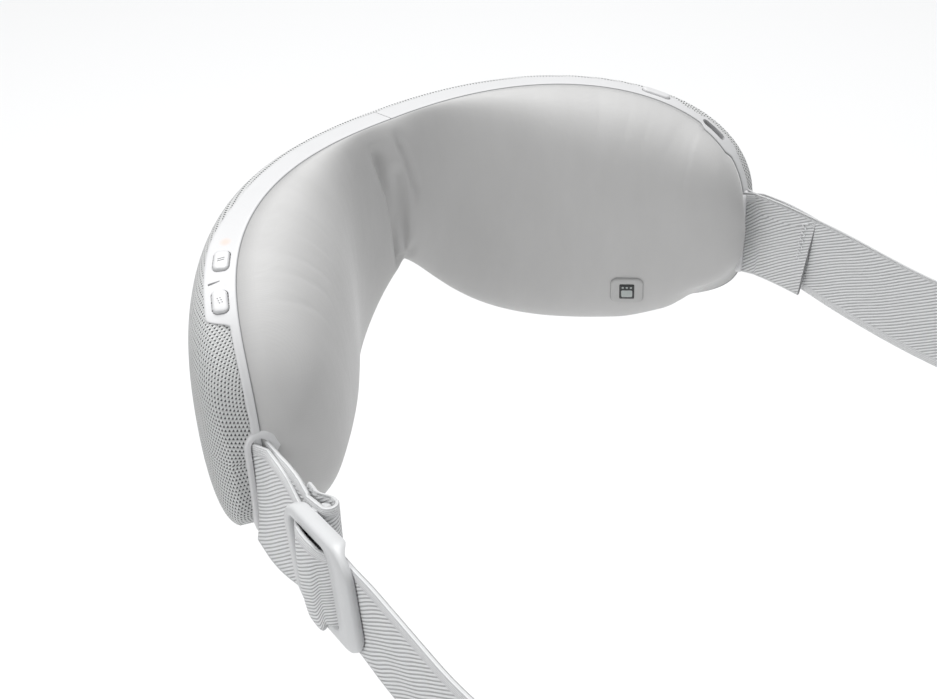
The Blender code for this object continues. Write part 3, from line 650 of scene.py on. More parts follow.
def band_paint():
    """Elastic webbing with slightly wavy diagonal ribs between two smooth selvedges, painted darker in the
    grooves between the ribs and on its edge faces as painted shade.
    """
    paint = Paint("strap_elastic", BAND_COLOUR, 0.75)
    paint.set("Sheen Weight", 0.2)
    u, v = paint.uv()
    wander = paint.noise(1.0, 0, paint.flat(u, v, 0.05, 0.09))
    lean = paint.minus(paint.times(u, math.sin(RIB_ANGLE)), paint.times(v, math.cos(RIB_ANGLE)))
    phase = paint.plus(paint.math("DIVIDE", lean, RIB_PITCH), paint.times(wander, 1.3))
    wave = paint.math("SINE", paint.times(phase, 2 * math.pi))
    rib = paint.span(wave, -1.0, 0.0, 0.0, 1.0, True)
    half = BAND_WIDE / 2 / MM
    start = half - SELVEDGE
    top = paint.span(v, start - 0.35, start + 0.25, 0.0, 1.0, True)
    low = paint.span(v, LOW_SELVEDGE - half - 0.2, LOW_SELVEDGE - half + 0.2, 1.0, 0.0, True)
    edge = paint.math("MAXIMUM", top, low)
    line = paint.times(edge, paint.span(v, start, start + 0.9, 1, 0, True))
    lines = paint.math("SINE", paint.times(v, 2 * math.pi / 0.6))
    plain = paint.plus(0.74, paint.times(lines, 0.26))
    height = paint.add("ShaderNodeMix", {"data_type": "FLOAT"})
    paint.plug(height, "0", edge)
    paint.plug(height, "2", rib)
    paint.plug(height, "3", plain)
    fuzz = paint.noise(2000, 2)
    lit = paint.blend(fuzz, shade(BAND_COLOUR, 0.94), shade(BAND_COLOUR, 1.05))
    # painted shade: the colour darkens where the ribs and the selvedges' fine lines dip (one minus the
    # height), and on the band's thin edge faces; line adds a little more darkness on a strip of the top
    # selvedge and on the low selvedge
    painted_shade = paint.minus(1.0, height.outputs[0])
    painted_shade = paint.plus(painted_shade, paint.times(line, 0.15))
    painted_shade = paint.plus(painted_shade, paint.span(paint.math("ABSOLUTE", v), half - 0.14, half - 0.02, 0.0, 0.42, True))
    paint.colour(paint.blend(paint.times(painted_shade, 0.70), lit, shade(BAND_COLOUR, 0.42)))
    paint.bump(height.outputs[0], 0.00030, 0.9)
    return paint


PAINTS = {
    "rim": rim_paint(),
    "button": plastic("button_plastic", BUTTON_COLOUR, 0.40),
    "cloth": cloth_paint(),
    "mesh": mesh_paint(),
    "band": band_paint(),
    "mark": plastic("printed_mark", MARK_COLOUR, 0.55),
    # painted shade: the dark strip in the seam's gap
    "seam": plastic("seam_shadow_strip", SEAM_SHADOW_COLOUR, 0.70),
    "shell": plastic("shell_plastic", (0.30, 0.30, 0.31), 0.5),
    "rubber": plastic("rubber", (0.05, 0.05, 0.05), 0.75, 0.00006),
    "clear": plastic("clear_plastic", (0.85, 0.86, 0.84), 0.15, 0.00001, Transmission_Weight=0.6),
    "foil": plastic("battery_foil", (0.55, 0.56, 0.58), 0.34, 0.00005, 0.7),
    "heater": plastic("heater_film", (0.62, 0.30, 0.08), 0.42),
    "board": plastic("circuit_board", (0.03, 0.16, 0.07), 0.40, 0.00005),
    "dark": plastic("dark_window", (0.012, 0.013, 0.014), 0.12, 0.000004),
    "pale": plastic("sensor_diffuser", (0.42, 0.45, 0.44), 0.35),
    "port": plastic("port_shell", (0.24, 0.24, 0.25), 0.45, 0.00001),
    "cloth_plain": plastic("sensor_pad", shade(CLOTH_COLOUR, 0.92), 0.60),
    "outline": plastic("sensor_outline", (0.36, 0.36, 0.36), 0.70),
    "thread": plastic("thread", BAND_COLOUR, 0.7),
    "buckle": plastic("buckle_plastic", (0.62, 0.625, 0.63), 0.38),
    "steel": metal("steel", (0.62, 0.62, 0.64), 0.28),
}


# ---------------------------------------------------------------- the filled outline
def arc_points(points, shares):
    """Points along a polyline at the given shares of its length."""
    lengths = distances(points)
    return picked(shares * lengths[-1], lengths, points)


def end_outline(side, inset, count=801):
    """The outline's end, from the low corner up round to the top corner."""
    corner = CORNER_SHARE * (HALF_LENGTH - inset)
    low, high = float(low_edge(corner, inset)), float(top_edge(corner, inset))
    z = low + (high - low) * (0.5 - 0.5 * np.cos(np.linspace(0, np.pi, count)))
    upper = arch(np.clip(z, 0, None) / (TOP_HEIGHT - inset), TOP_POWER)
    lower = arch(np.clip(-z, 0, None) / (LOW_HEIGHT - inset), LOW_POWER)
    along = (HALF_LENGTH - inset) * np.where(z >= 0, upper, lower)
    return np.column_stack([side * along, z])


def filled(columns, rows, inset=0.0):
    """A grid of (along, z) that fills the outline, its rows and columns closer together near the edge."""
    corner = CORNER_SHARE * (HALF_LENGTH - inset)
    u = 0.5 - 0.5 * np.cos(np.linspace(0, np.pi, columns))
    v = 0.5 - 0.5 * np.cos(np.linspace(0, np.pi, rows))
    fine = np.linspace(-corner, corner, 2001)
    top = arc_points(np.column_stack([fine, top_edge(fine, inset)]), u)
    low = arc_points(np.column_stack([fine, low_edge(fine, inset)]), u)
    left = arc_points(end_outline(-1, inset), v)
    right = arc_points(end_outline(1, inset), v)
    U, V = u[None, :, None], v[:, None, None]
    flat = (1 - V) * low[None] + V * top[None] + (1 - U) * left[:, None] + U * right[:, None]
    flat -= (1 - U) * (1 - V) * low[0] + U * (1 - V) * low[-1] + (1 - U) * V * top[0] + U * V * top[-1]
    return flat[..., 0], flat[..., 1]


def border(rows, columns):
    """Vertex numbers round a grid's border, anticlockwise as numbered."""
    low = np.arange(columns)
    right = np.arange(1, rows) * columns + columns - 1
    top = (rows - 1) * columns + np.arange(columns - 2, -1, -1)
    left = np.arange(rows - 2, 0, -1) * columns
    return np.concatenate([low, right, top, left])


# ---------------------------------------------------------------- the cushion
def fold_drop(along, z, depth, width, soft, points):
    """How much a fold lowers the cushion: steep on one side of its line and soft on the other."""
    points = np.array(points)
    order = np.argsort(points[:, 1])
    line = np.interp(z, points[order, 1], points[order, 0])
    low, high = points[:, 1].min(), points[:, 1].max()
    along_fold = smooth(low - 0.004, low + 0.004, z) * (1 - smooth(high - 0.006, high + 0.0005, z))
    offset = along - line
    steep = np.where(offset > 0, width, width * soft)
    return depth * along_fold * np.exp(-((offset / steep) ** 2))


def pucker_drop(along, z):
    """Short gathers that run in from the seam at the top of the left cushion and, fainter, of the right."""
    total = np.zeros_like(along)
    inward = edge_distance(along, z)
    length = 1 - smooth(0.2 * PUCKER_LONG, PUCKER_LONG, inward)
    for side, strength in ((1, 1.0), (-1, 0.55)):
        for at, fade in PUCKERS:
            offset = side * along - (at - 0.35 * inward)
            upper = smooth(fade - 0.030, fade - 0.012, z)
            total += strength * PUCKER_DEEP * length * upper * np.exp(-((offset / PUCKER_WIDE) ** 2))
    return total


def cushion_height(along, z):
    """How far the smooth cushion stands above the seam, and its share of the full height."""
    valley = np.exp(-((along / CUSHION_VALLEY) ** 2))
    late = np.clip((np.abs(along) / HALF_LENGTH - 0.5) / 0.5, 0, 1) ** 2
    full = CUSHION_THICK + (CUSHION_THICK_MID - CUSHION_THICK) * valley
    full = full + (CUSHION_THICK_END - CUSHION_THICK) * late
    central = np.exp(-((along / CENTRE_REACH) ** 2))
    power = CUSHION_POWER + (CENTRE_POWER - CUSHION_POWER) * central * smooth(0.0, 0.030, z)
    share = swell(edge_distance(along, z) / CUSHION_ROUND, power)
    return CUSHION_EDGE + (full - CUSHION_EDGE) * share, share


def cushion_push(along, z, share):
    """How far the cushion swells out beyond the outline: most at its upper ends, least at the centre."""
    length = np.abs(along)
    swollen = 1 + 0.9 * smooth(0.060, 0.115, length)
    swollen += END_SWELL * smooth(0.102, 0.119, -along) * smooth(-0.010, 0.006, z)
    swollen -= LOW_TUCK * smooth(0.080, 0.105, length) * (1 - smooth(-0.018, -0.004, z))
    swollen -= LOW_TUCK_RIGHT * smooth(0.098, 0.117, -along) * (1 - smooth(-0.016, 0.0, z))
    swollen *= 1 - 0.9 * np.exp(-((along / CENTRE_REACH) ** 2)) * smooth(0.018, 0.032, z)
    return SEAM_GROWS * (1 - share) ** 2 + CUSHION_BULGE * swollen * 4 * share * (1 - share)


def cushion_surface(along, z):
    """The cushion's outer points: swollen out beyond the seam, with its folds and puckers."""
    height, share = cushion_height(along, z)
    out_along, out_z = outward(along, z)
    push = cushion_push(along, z, share)
    height = height + CENTRE_RAISE * np.exp(-((along / CENTRE_WIDE) ** 2)) * share
    folds = sum(fold_drop(along, z, *fold) for fold in FOLDS)
    folds = np.minimum(folds, 0.75 * height)
    height = height - folds - pucker_drop(along, z) * np.minimum(share * 3, 1)
    lift = (seam(along, z) - seam(along)) * (1 - share) ** 2
    depth = seam(along) + lift + SEAM_GAP + height - CUSHION_EDGE * (1 - share)
    over_hinge = smooth(0.005, 0.009, z) * (1 - smooth(0.0440, 0.0500, z))
    beside = smooth(0.003, 0.005, np.abs(along))
    least = (HINGE_CLEAR + (HINGE_CLEAR_BESIDE - HINGE_CLEAR) * beside) * over_hinge
    return place(along + push * out_along, z + push * out_z, np.maximum(depth, least))


def build_cushion():
    along, z = filled(CUSHION_COLUMNS, CUSHION_ROWS, 0.00015)
    front = cushion_surface(along, z).reshape(-1, 3)
    flat = np.column_stack([along.ravel(), z.ravel()]) / MM
    edge = border(CUSHION_ROWS, CUSHION_COLUMNS)
    out_along, out_z = (side.ravel()[edge] for side in outward(along, z, -0.0005))
    edge_along, edge_z = along.ravel()[edge], z.ravel()[edge]
    rings, ring_uv = [], []
    for inset, lower in ((0.0002, 0.00012), (0.0008, 0.0), (0.0016, -0.0006)):
        a = edge_along + (SEAM_GROWS - inset) * out_along
        h = edge_z + (SEAM_GROWS - inset) * out_z
        rings.append(place(a, h, seam(edge_along, edge_z) + lower))
        ring_uv.append(flat[edge])
    count = len(front)
    faces = grid_faces(CUSHION_ROWS, CUSHION_COLUMNS)
    ring_ids = [edge] + [count + n * len(edge) + np.arange(len(edge)) for n in range(len(rings))]
    back_start = count + len(rings) * len(edge)
    back_along, back_z = filled(CUSHION_COLUMNS, CUSHION_ROWS, 0.0018)
    back = place(back_along, back_z, seam(back_along, back_z) - 0.0007).reshape(-1, 3)
    ring_ids.append(back_start + edge)
    for before, after in zip(ring_ids, ring_ids[1:]):
        following = np.roll(before, -1), np.roll(after, -1)
        faces += np.column_stack([before, after, following[1], following[0]]).tolist()
    faces += [face[::-1] for face in grid_faces(CUSHION_ROWS, CUSHION_COLUMNS, back_start)]
    verts = np.vstack([front, *rings, back])
    uv = np.vstack([flat, *ring_uv, flat])
    cover = make("cushion_cover", verts, [face[::-1] for face in faces], uv)
    return dress(cover, "cloth", None, ("cushion_left", "cushion_right"))


# ---------------------------------------------------------------- the mesh front
def front_depth(along, z, inset=0.0):
    share = edge_distance(along, z, inset) / (FRONT_ROUND - inset)
    return -(FRONT_BULGE - inset) * swell(share, FRONT_POWER)


def knit_lengths(along, z):
    """Millimetres along the knit's courses and up its wales, over the domed front from its middle."""
    step = 0.00025
    a = np.arange(-0.1250, 0.1251, step)
    b = np.arange(-0.0310, 0.0521, step)
    depth = front_depth(a[None, :], b[:, None])
    u = np.cumsum(np.hypot(step, np.diff(depth, axis=1, prepend=depth[:, :1])), axis=1)
    u -= u[:, len(a) // 2 : len(a) // 2 + 1]
    v = np.cumsum(np.hypot(step, np.diff(depth, axis=0, prepend=depth[:1])), axis=0)
    v -= v[len(b) // 2]
    column = np.clip((along - a[0]) / step, 0, len(a) - 1.001)
    row = np.clip((z - b[0]) / step, 0, len(b) - 1.001)
    c, r = column.astype(int), row.astype(int)
    s, t = column - c, row - r

    def read(grid):
        low = grid[r, c] * (1 - s) + grid[r, c + 1] * s
        high = grid[r + 1, c] * (1 - s) + grid[r + 1, c + 1] * s
        return low * (1 - t) + high * t

    return np.column_stack([read(u).ravel(), read(v).ravel()]) / MM


def build_mesh_skin():
    """The knitted front: a dome, and a side wall that runs in under the rim."""
    inset = 0.00025
    along, z = filled(MESH_COLUMNS, MESH_ROWS, inset)
    front = place(along, z, front_depth(along, z)).reshape(-1, 3)
    out_along, out_z = outward(along, z, inset)
    flat = knit_lengths(along, z)
    edge = border(MESH_ROWS, MESH_COLUMNS)
    ea, ez = along.ravel()[edge], z.ravel()[edge]
    oa, oz = out_along.ravel()[edge], out_z.ravel()[edge]
    beside_port = smooth(0.098, 0.104, -ea) * smooth(0.0, 0.010, ez)
    reach = 1 - 0.62 * beside_port
    rings = [place(ea, ez, depth * reach) for depth in WALL_DEPTHS]
    start = front_depth(ea, ez)
    outwards = np.column_stack([oa, oz])
    ring_uv = [flat[edge] + outwards * (depth * reach - start)[:, None] / MM for depth in WALL_DEPTHS]
    faces = grid_faces(MESH_ROWS, MESH_COLUMNS)
    ids = [edge] + [len(front) + n * len(edge) + np.arange(len(edge)) for n in range(len(rings))]
    for before, after in zip(ids, ids[1:]):
        faces += np.column_stack([before, after, np.roll(after, -1), np.roll(before, -1)]).tolist()
    skin = make("mesh_skin", np.vstack([front, *rings]), faces, np.vstack([flat, *ring_uv]))
    thick = skin.modifiers.new("thickness", "SOLIDIFY")
    thick.thickness = 0.0006
    thick.offset = -1
    return dress(skin, "mesh", None, ("mesh_cover_left", "mesh_cover_right"))


# ---------------------------------------------------------------- the rim
def outline_half(side, count):
    """(along, z) and the outward direction at even steps from the top centre round the end to the notch."""
    corner = CORNER_SHARE * HALF_LENGTH
    fine = np.linspace(0, corner, 1200)
    end = end_outline(1, 0.0)[::-1]
    whole = np.vstack([
        np.column_stack([fine, top_edge(fine)]),
        end[1:-1],
        np.column_stack([fine[::-1], low_edge(fine[::-1])]),
    ])
    lengths = distances(whole)
    wanted = np.linspace(0, lengths[-1], count)
    step = 0.0004
    tangent = picked(wanted + step, lengths, whole) - picked(wanted - step, lengths, whole)
    tangent /= np.hypot(*tangent.T)[:, None]
    normal = np.column_stack([-tangent[:, 1], tangent[:, 0]])
    return picked(wanted, lengths, whole), normal, wanted, lengths[-1]


def rim_front(side, points, upper):
    """How deep the rim's front edge lies: least at the button panel, and most beside the mesh."""
    along, z = points[:, 0], points[:, 1]
    front = np.full(len(along), RIM_FRONT)
    late = np.where(upper, smooth(0, 1, np.clip((along - PANEL_END) / 0.0024, 0, 1)), 1.0)
    inner_end = 1 - smooth(0.060, 0.105, along)
    strip = np.where(z > 0, STRIP_FRONT, STRIP_FRONT + (RIM_FRONT - STRIP_FRONT) * inner_end)
    if side > 0:
        panel = smooth(PANEL_START, PANEL_FULL, along) * upper
        front = front + (PANEL_FRONT - RIM_FRONT) * panel
        return np.where(upper, front + (strip - front) * late, strip)
    strip = np.minimum(strip, RIGHT_STRIP)
    patch = smooth(PATCH_START, PATCH_START + 0.004, along) * upper
    port = smooth(PATCH_END - 0.0008, PATCH_END + 0.0010, along) * (1 - smooth(0.1165, 0.1185, along)) * upper
    front = front + (RIGHT_STRIP - RIM_FRONT) * patch + (PORT_FRONT - RIGHT_STRIP) * port
    return np.where(upper, front, strip)


def build_rim(side):
    word = "left" if side > 0 else "right"
    points, normal, travelled, total = outline_half(side, RIM_COUNT)
    top_part = travelled < total * 0.5
    upper = points[:, 1] > 0
    upper &= top_part | (points[:, 0] > 0.1)
    front = rim_front(side, points, upper)
    back = seam(side * points[:, 0], points[:, 1])
    rows = []
    for inset, shift, at_front in RIM_SECTION:
        depth = (front if at_front else back) + shift
        grown = SEAM_GROWS * np.clip(depth / back, 0, 1)
        along = points[:, 0] + (grown - inset) * normal[:, 0]
        z = points[:, 1] + (grown - inset) * normal[:, 1]
        along = np.maximum(along, 0.00012)
        rows.append(place(side * along, z, depth))
    faces = tube_faces(RIM_COUNT, len(RIM_SECTION))
    rim = make(f"rim_trim_{word}", np.stack(rows, 1), faces, sharp=math.radians(50))
    turn_faces_out(rim)
    return dress(rim, "rim", f"{word}_half", (f"rim_{word}",))


def rim_frame(side, along, depth):
    """On the rim's top: X runs along the rim, Y towards the wearer or away, and Z straight out of the rim."""
    step = 0.0004

    def at(a):
        z = float(top_edge(a)) + SEAM_GROWS * depth / float(seam(a))
        return Vector(place(side * a, z, depth))

    x_axis = (at(along + step) - at(along - step)).normalized() * side
    y_axis = depth_dir(side, along)
    matrix = axes(at(along), x_axis, y_axis)
    if matrix.to_3x3().col[2].z < 0:
        matrix = axes(matrix.translation, -x_axis, y_axis)
    return matrix


def hole_shape(long, wide, corner, matrix):
    return button_shape("hole", long, wide, corner, ((0, -0.006), (0, 0.004)), matrix)


def cut(target, shape):
    """Cuts a shape out of a piece for good."""
    change = target.modifiers.new("cut", "BOOLEAN")
    change.operation = "DIFFERENCE"
    change.solver = "EXACT"
    change.object = shape
    bpy.context.view_layer.update()
    mesh = bpy.data.meshes.new_from_object(target.evaluated_get(bpy.context.evaluated_depsgraph_get()))
    target.modifiers.remove(change)
    target.data = mesh
    bpy.data.objects.remove(shape)
    mesh.shade_smooth()
    mesh.set_sharp_from_angle(angle=math.radians(50))


# ---------------------------------------------------------------- the buttons and their marks
def flat_mark(name, body, long, wide, corner, matrix, high=0.00006):
    """A thin raised print."""
    levels = ((0, -0.0002), (0, high * 0.6), (wide * 0.15, high))
    dress(button_shape(name, long, wide, corner, levels, matrix, 0.0, 2), "mark", body)


def build_buttons(rims):
    made = {}
    for name, (side, along, depth, long, wide, corner, body) in BUTTONS.items():
        matrix = rim_frame(side, along, depth)
        cut(rims[side], hole_shape(long + 0.0005, wide + 0.0005, corner + 0.00025, matrix))
        levels = ((0, -0.0015), (0, 0.0), (0.00006, 0.00040), (0.00022, 0.00062), (0.00050, 0.00074))
        cap = button_shape(f"{name}_cap", long, wide, corner, levels, matrix, BUTTON_PROUD - 0.00074, 6)
        dress(cap, "button", body, (name,))
        made[name] = matrix @ Matrix.Translation((0, 0, BUTTON_PROUD - 0.00002))
    return made


def build_marks(tops):
    top = tops["intensity_button"]
    for number, shift in enumerate((-0.00035, 0.00035), 1):
        at = top @ Matrix.Translation((shift, 0, 0)) @ Matrix.Rotation(math.radians(110), 4, "Z")
        flat_mark(f"intensity_mark_{number}", "intensity_button", 0.0019, 0.00026, 0.00012, at)
    top = tops["mode_button"]
    for column in (-1, 0, 1):
        for row in (-0.5, 0.5):
            lean = top @ Matrix.Rotation(math.radians(18), 4, "Z")
            at = lean @ Matrix.Translation((column * 0.00072, row * 0.00072, 0))
            name = f"mode_mark_{column + 2}_{round(row + 1.5)}"
            flat_mark(name, "mode_button", 0.00034, 0.00034, 0.00016, at)
    at = rim_frame(1, 0.0941, 0.0027) @ Matrix.Rotation(math.radians(108), 4, "Z")
    flat_mark("panel_mark", "left_half", 0.0060, 0.00036, 0.00017, at, 0.00004)


# ---------------------------------------------------------------- the seam's painted shadow strip, the port and the sensor
def build_seam(side):
    """A dark strip deep in the seam's gap that shows as a thin line between rim and cushion: painted shade
    for the shaded gap.
    """
    word = "left" if side > 0 else "right"
    points, normal, _, _ = outline_half(side, RIM_COUNT)
    back = seam(side * points[:, 0], points[:, 1])
    rows = []
    for inset, shift in SHADOW_STRIP_SECTION:
        along = np.maximum(points[:, 0] + (SEAM_GROWS - inset) * normal[:, 0], 0.00010)
        z = points[:, 1] + (SEAM_GROWS - inset) * normal[:, 1]
        rows.append(place(side * along, z, back + shift))
    faces = tube_faces(RIM_COUNT, len(rows))
    shadow_strip = make(f"seam_shadow_strip_{word}", np.stack(rows, 1), faces, sharp=math.radians(60))
    dress(shadow_strip, "seam", f"{word}_half")


def build_port(rim):
    along, depth, long, thick = PORT
    matrix = rim_frame(-1, along, depth)
    cut(rim, hole_shape(long + 0.0002, thick + 0.0002, thick * 0.5, matrix))
    for node, paint in (("charging_port", "port"), ("charging_contacts", "dark")):
        give(NODES[node], PAINTS[paint])
    well = button_shape(
        "port_well", long - 0.0010, thick - 0.0010, thick * 0.33, ((0, -0.0060), (0, -0.0042)), matrix, 0.0, 2
    )
    dress(well, "dark", "right_half")


def cushion_frame(side, along, z):
    """A frame on the smooth cushion: X along, Y up, Z straight out of it."""
    step = 0.001

    def at(a, b):
        return Vector(place(side * a, b, seam(a) + cushion_height(np.array(a), np.array(b))[0]))

    x_axis = (at(along + step, z) - at(along - step, z)) * -side
    out = x_axis.cross(at(along, z + step) - at(along, z - step)).normalized()
    return axes(at(along, z), x_axis, out.cross(x_axis))


def build_sensor():
    along, z, long, tall, window_long, window_tall = SENSOR
    matrix = cushion_frame(-1, along, z)
    levels = ((0, -0.0016), (0, 0.00020), (0.00010, 0.00038), (0.00030, 0.00048))
    pad = button_shape("sensor_pad", long, tall, 0.0022, levels, matrix, 0.00006, 6)
    dress(pad, "cloth_plain", "right_half", ("sensor_housing",))
    levels = ((0, -0.0016), (0, 0.00008), (0.00028, 0.00012))
    ring = button_shape("sensor_outline", long + 0.0004, tall + 0.0004, 0.0024, levels, matrix, 0.0, 2)
    dress(ring, "outline", "right_half")
    face = matrix @ Matrix.Translation((0, 0, 0.00052))
    levels = ((0, -0.0008), (0, 0.00004), (0.00012, 0.00012))
    window = button_shape("sensor_glass", window_long, window_tall, 0.0005, levels, face, 0.00002, 3)
    dress(window, "dark", "right_half", ("sensor_window",))
    bright = face @ Matrix.Translation((0, 0, 0.00013))
    for number, shift in enumerate((-0.00125, 0, 0.00125), 1):
        at = bright @ Matrix.Translation((shift, 0.00175, 0))
        levels = ((0, -0.0001), (0, 0.00003))
        dot = button_shape(f"sensor_light_{number}", 0.0007, 0.0007, 0.00034, levels, at, 0.00004, 3)
        dress(dot, "pale", "right_half")
    at = bright @ Matrix.Translation((0, -0.0008, 0))
    levels = ((0, -0.0001), (0, 0.00002), (0.0001, 0.00006))
    plate = button_shape("sensor_lens", 0.0034, 0.0029, 0.0005, levels, at, 0.00003, 3)
    dress(plate, "pale", "right_half")


# ---------------------------------------------------------------- the strap anchors
def anchor_origin(side):
    """The strap pin's middle."""
    return Vector(place(side * (HALF_LENGTH - 0.0018), (ANCHOR_LOW + ANCHOR_HIGH) / 2, ANCHOR_DEPTH))


def build_anchor(side):
    """A rounded frame in the mask's end, with the slot that the strap leaves by."""
    word = "left" if side > 0 else "right"
    out = along_dir(side, HALF_LENGTH)
    tall = ANCHOR_HIGH - ANCHOR_LOW - (0.0 if side > 0 else 0.0050)
    wide, slot_wide = (0.0098, 0.0050) if side > 0 else (0.0081, 0.0050)
    shift = (0.0010, 0.0004) if side > 0 else (0.0, 0.0)
    inwards = depth_dir(side, HALF_LENGTH)
    face = anchor_origin(side) + out * 0.0036 + inwards * shift[1] + UP * FRAME_LIFT[side]
    matrix = axes(face, UP, inwards * side)
    if matrix.to_3x3().col[2].dot(out) < 0:
        matrix = axes(face, -UP, inwards * side)
    outer = ((0, -0.0086), (0, -0.0008), (0.00018, -0.00030), (0.00060, 0.0))
    inner = ((0.00012, -0.00010), (0, -0.0005), (0, -0.0070))
    rings = []
    for inset, height in outer:
        flat = rounded_outline(tall - 2 * inset, wide - 2 * inset, wide * 0.49 - inset, 14)
        flat[:, 1] += shift[0] * side
        rings.append(np.column_stack([flat, np.full(len(flat), height)]))
    for inset, height in inner:
        flat = rounded_outline(tall - 0.0036 - 2 * inset, slot_wide - 2 * inset, slot_wide * 0.49 - inset, 14)
        rings.append(np.column_stack([flat, np.full(len(flat), height)]))
    for ring in rings:
        ring[:, 2] -= 7.0 * ring[:, 0] ** 2
    faces = tube_faces(len(rings), len(rings[0]), turned=True)
    anchor = make(f"slot_frame_{word}", moved(matrix, np.concatenate(rings)), faces, sharp=math.radians(50))
    dress(anchor, "rim", f"{word}_half", (f"strap_anchor_{word}",))


def build_pin(side):
    """The steel pin that the strap turns round."""
    word = "left" if side > 0 else "right"
    middle = np.array(anchor_origin(side)) + np.array([0, 0, BAND_LIFT[side]])
    angles = np.linspace(0, 2 * math.pi, 25)[:-1]
    circle = np.column_stack([np.cos(angles), np.sin(angles), np.zeros(24)])
    half = PIN_LONG / 2
    levels = ((-half, 0.8), (-half + 0.0002, 1.0), (half - 0.0002, 1.0), (half, 0.8))
    rings = [middle + circle * PIN_RADIUS * grow + np.array([0, 0, z]) for z, grow in levels]
    faces = tube_faces(len(rings), len(circle), turned=True)
    pin = make(f"strap_pin_visual_{word}", np.concatenate(rings), faces, sharp=math.radians(40))
    dress(pin, "steel", f"{word}_half", (f"strap_pin_{word}",))


# ---------------------------------------------------------------- the strap
def band_line(side):
    origin = anchor_origin(side)
    out = along_dir(side, HALF_LENGTH)
    heading = BAND_HEADING[side]
    straight = Vector((side * math.sin(heading), math.cos(heading), 0))
    begin = origin + out * 0.0070
    turn_in = begin + out * 0.0040 + straight * 0.0040
    return begin, turn_in, turn_in + straight * BAND_STRAIGHT, straight


def band_middle(side):
    """The middle line of the band in small steps, from the slot to the back of the head."""
    begin, turn_in, finish, straight = band_line(side)
    back = Vector((0, BAND_BACK, finish.z))
    reach = 0.0640
    bend_1 = finish + straight * reach
    bend_2 = back + Vector((side * reach, 0, 0))
    start = (begin + 2 * turn_in + turn_in + straight * 0.004) / 4
    joined = [np.array(begin), np.array(start)]
    joined += [np.array(turn_in.lerp(finish, share)) for share in np.linspace(0.08, 1, 30)]
    for t in np.linspace(0, 1, 60)[1:]:
        s = 1 - t
        joined.append(np.array(finish * s**3 + bend_1 * 3 * t * s**2 + bend_2 * 3 * t**2 * s + back * t**3))
    flat = np.array(joined)
    travelled = distances(flat)
    share = np.clip((np.linalg.norm(flat - flat[0], axis=1) - 0.1) / 0.12, 0, 1)
    flat[:, 2] += BAND_CLIMB[side] * np.minimum(travelled, 0.1)
    flat[:, 2] += (-BAND_BACK_DROP - BAND_CLIMB[side] * 0.1) * share * share * (3 - 2 * share)
    flat[:, 2] += BAND_LIFT[side] * (1 - smooth(0.0, 0.060, travelled))
    return flat


def resample(points, step):
    """The same line with points at even steps, softened at its corners."""
    lengths = distances(points)
    count = max(int(lengths[-1] / step), 2) + 1
    even = picked(np.linspace(0, lengths[-1], count), lengths, points)
    for _ in range(3):
        even[1:-1] = (even[:-2] + 2 * even[1:-1] + even[2:]) / 4
    return even


def level_normals(points):
    ahead = np.gradient(points, axis=0)
    across = np.column_stack([ahead[:, 1], -ahead[:, 0], np.zeros(len(ahead))])
    return across / np.linalg.norm(across, axis=1)[:, None]


def ribbon(name, path, normals, roll=None, start_mm=0.0, cup=0.0, wide=BAND_WIDE, shift=0.0, mirrored=False):
    """A flat woven band along a path. normals point out of its outer face, and roll leans its top over."""
    ahead = np.gradient(path, axis=0)
    ahead /= np.linalg.norm(ahead, axis=1)[:, None]
    level = normals - ahead * np.sum(normals * ahead, axis=1)[:, None]
    level /= np.linalg.norm(level, axis=1)[:, None]
    upright = np.cross(level, ahead)
    upright *= np.sign(upright[:, 2:3])
    if roll is not None:
        cos, sin = np.cos(roll)[:, None], np.sin(roll)[:, None]
        level, upright = level * cos - upright * sin, upright * cos + level * sin
    travelled = start_mm + distances(path) / MM
    half = np.broadcast_to(np.asarray(wide, float) / 2, len(path))[:, None]
    shift = np.broadcast_to(np.asarray(shift, float), len(path))[:, None]
    cup = np.broadcast_to(np.asarray(cup, float), len(path))[:, None]
    thick = BAND_WALL / 2
    face = np.linspace(-1, 1, 15)
    across = np.concatenate([face * 0.974, [1, 1], -face * 0.974, [-1, -1]])
    bow = np.concatenate([1 - face**2, [0, 0], 1 - face**2, [0, 0]])
    outer_half = np.concatenate([np.full(15, thick), [thick * 0.35, -thick * 0.35]])
    lift = np.concatenate([outer_half, -outer_half])
    sideways = across[None] * half + shift
    outwards = lift[None] + bow[None] * cup
    verts = path[:, None] + upright[:, None] * sideways[..., None] + level[:, None] * outwards[..., None]
    v_mm = across * BAND_WIDE / 2 / MM
    inner = np.arange(len(across)) >= len(face) + 2
    v_mm = np.where(inner != mirrored, -v_mm, v_mm)
    uv = np.stack([np.broadcast_to(travelled[:, None], verts.shape[:2]),
                   np.broadcast_to(v_mm[None], verts.shape[:2])], -1)
    band = make(name, verts, tube_faces(len(path), len(across)), uv, sharp=math.radians(60))
    turn_faces_out(band)
    return dress(band, "band")


def pin_turn(side, count=12):
    """The half turn of the band round its pin, from the outer layer in towards the wearer's side."""
    origin = np.array(anchor_origin(side)) + np.array([0, 0, BAND_LIFT[side]])
    out = np.array(along_dir(side, HALF_LENGTH))
    away = np.array(depth_dir(side, HALF_LENGTH)) * -1
    radius = PIN_RADIUS + GAP + BAND_WALL / 2
    angles = np.linspace(math.pi / 2, 3 * math.pi / 2, count)
    return np.array([origin + away * radius * math.sin(a) + out * radius * math.cos(a) for a in angles])


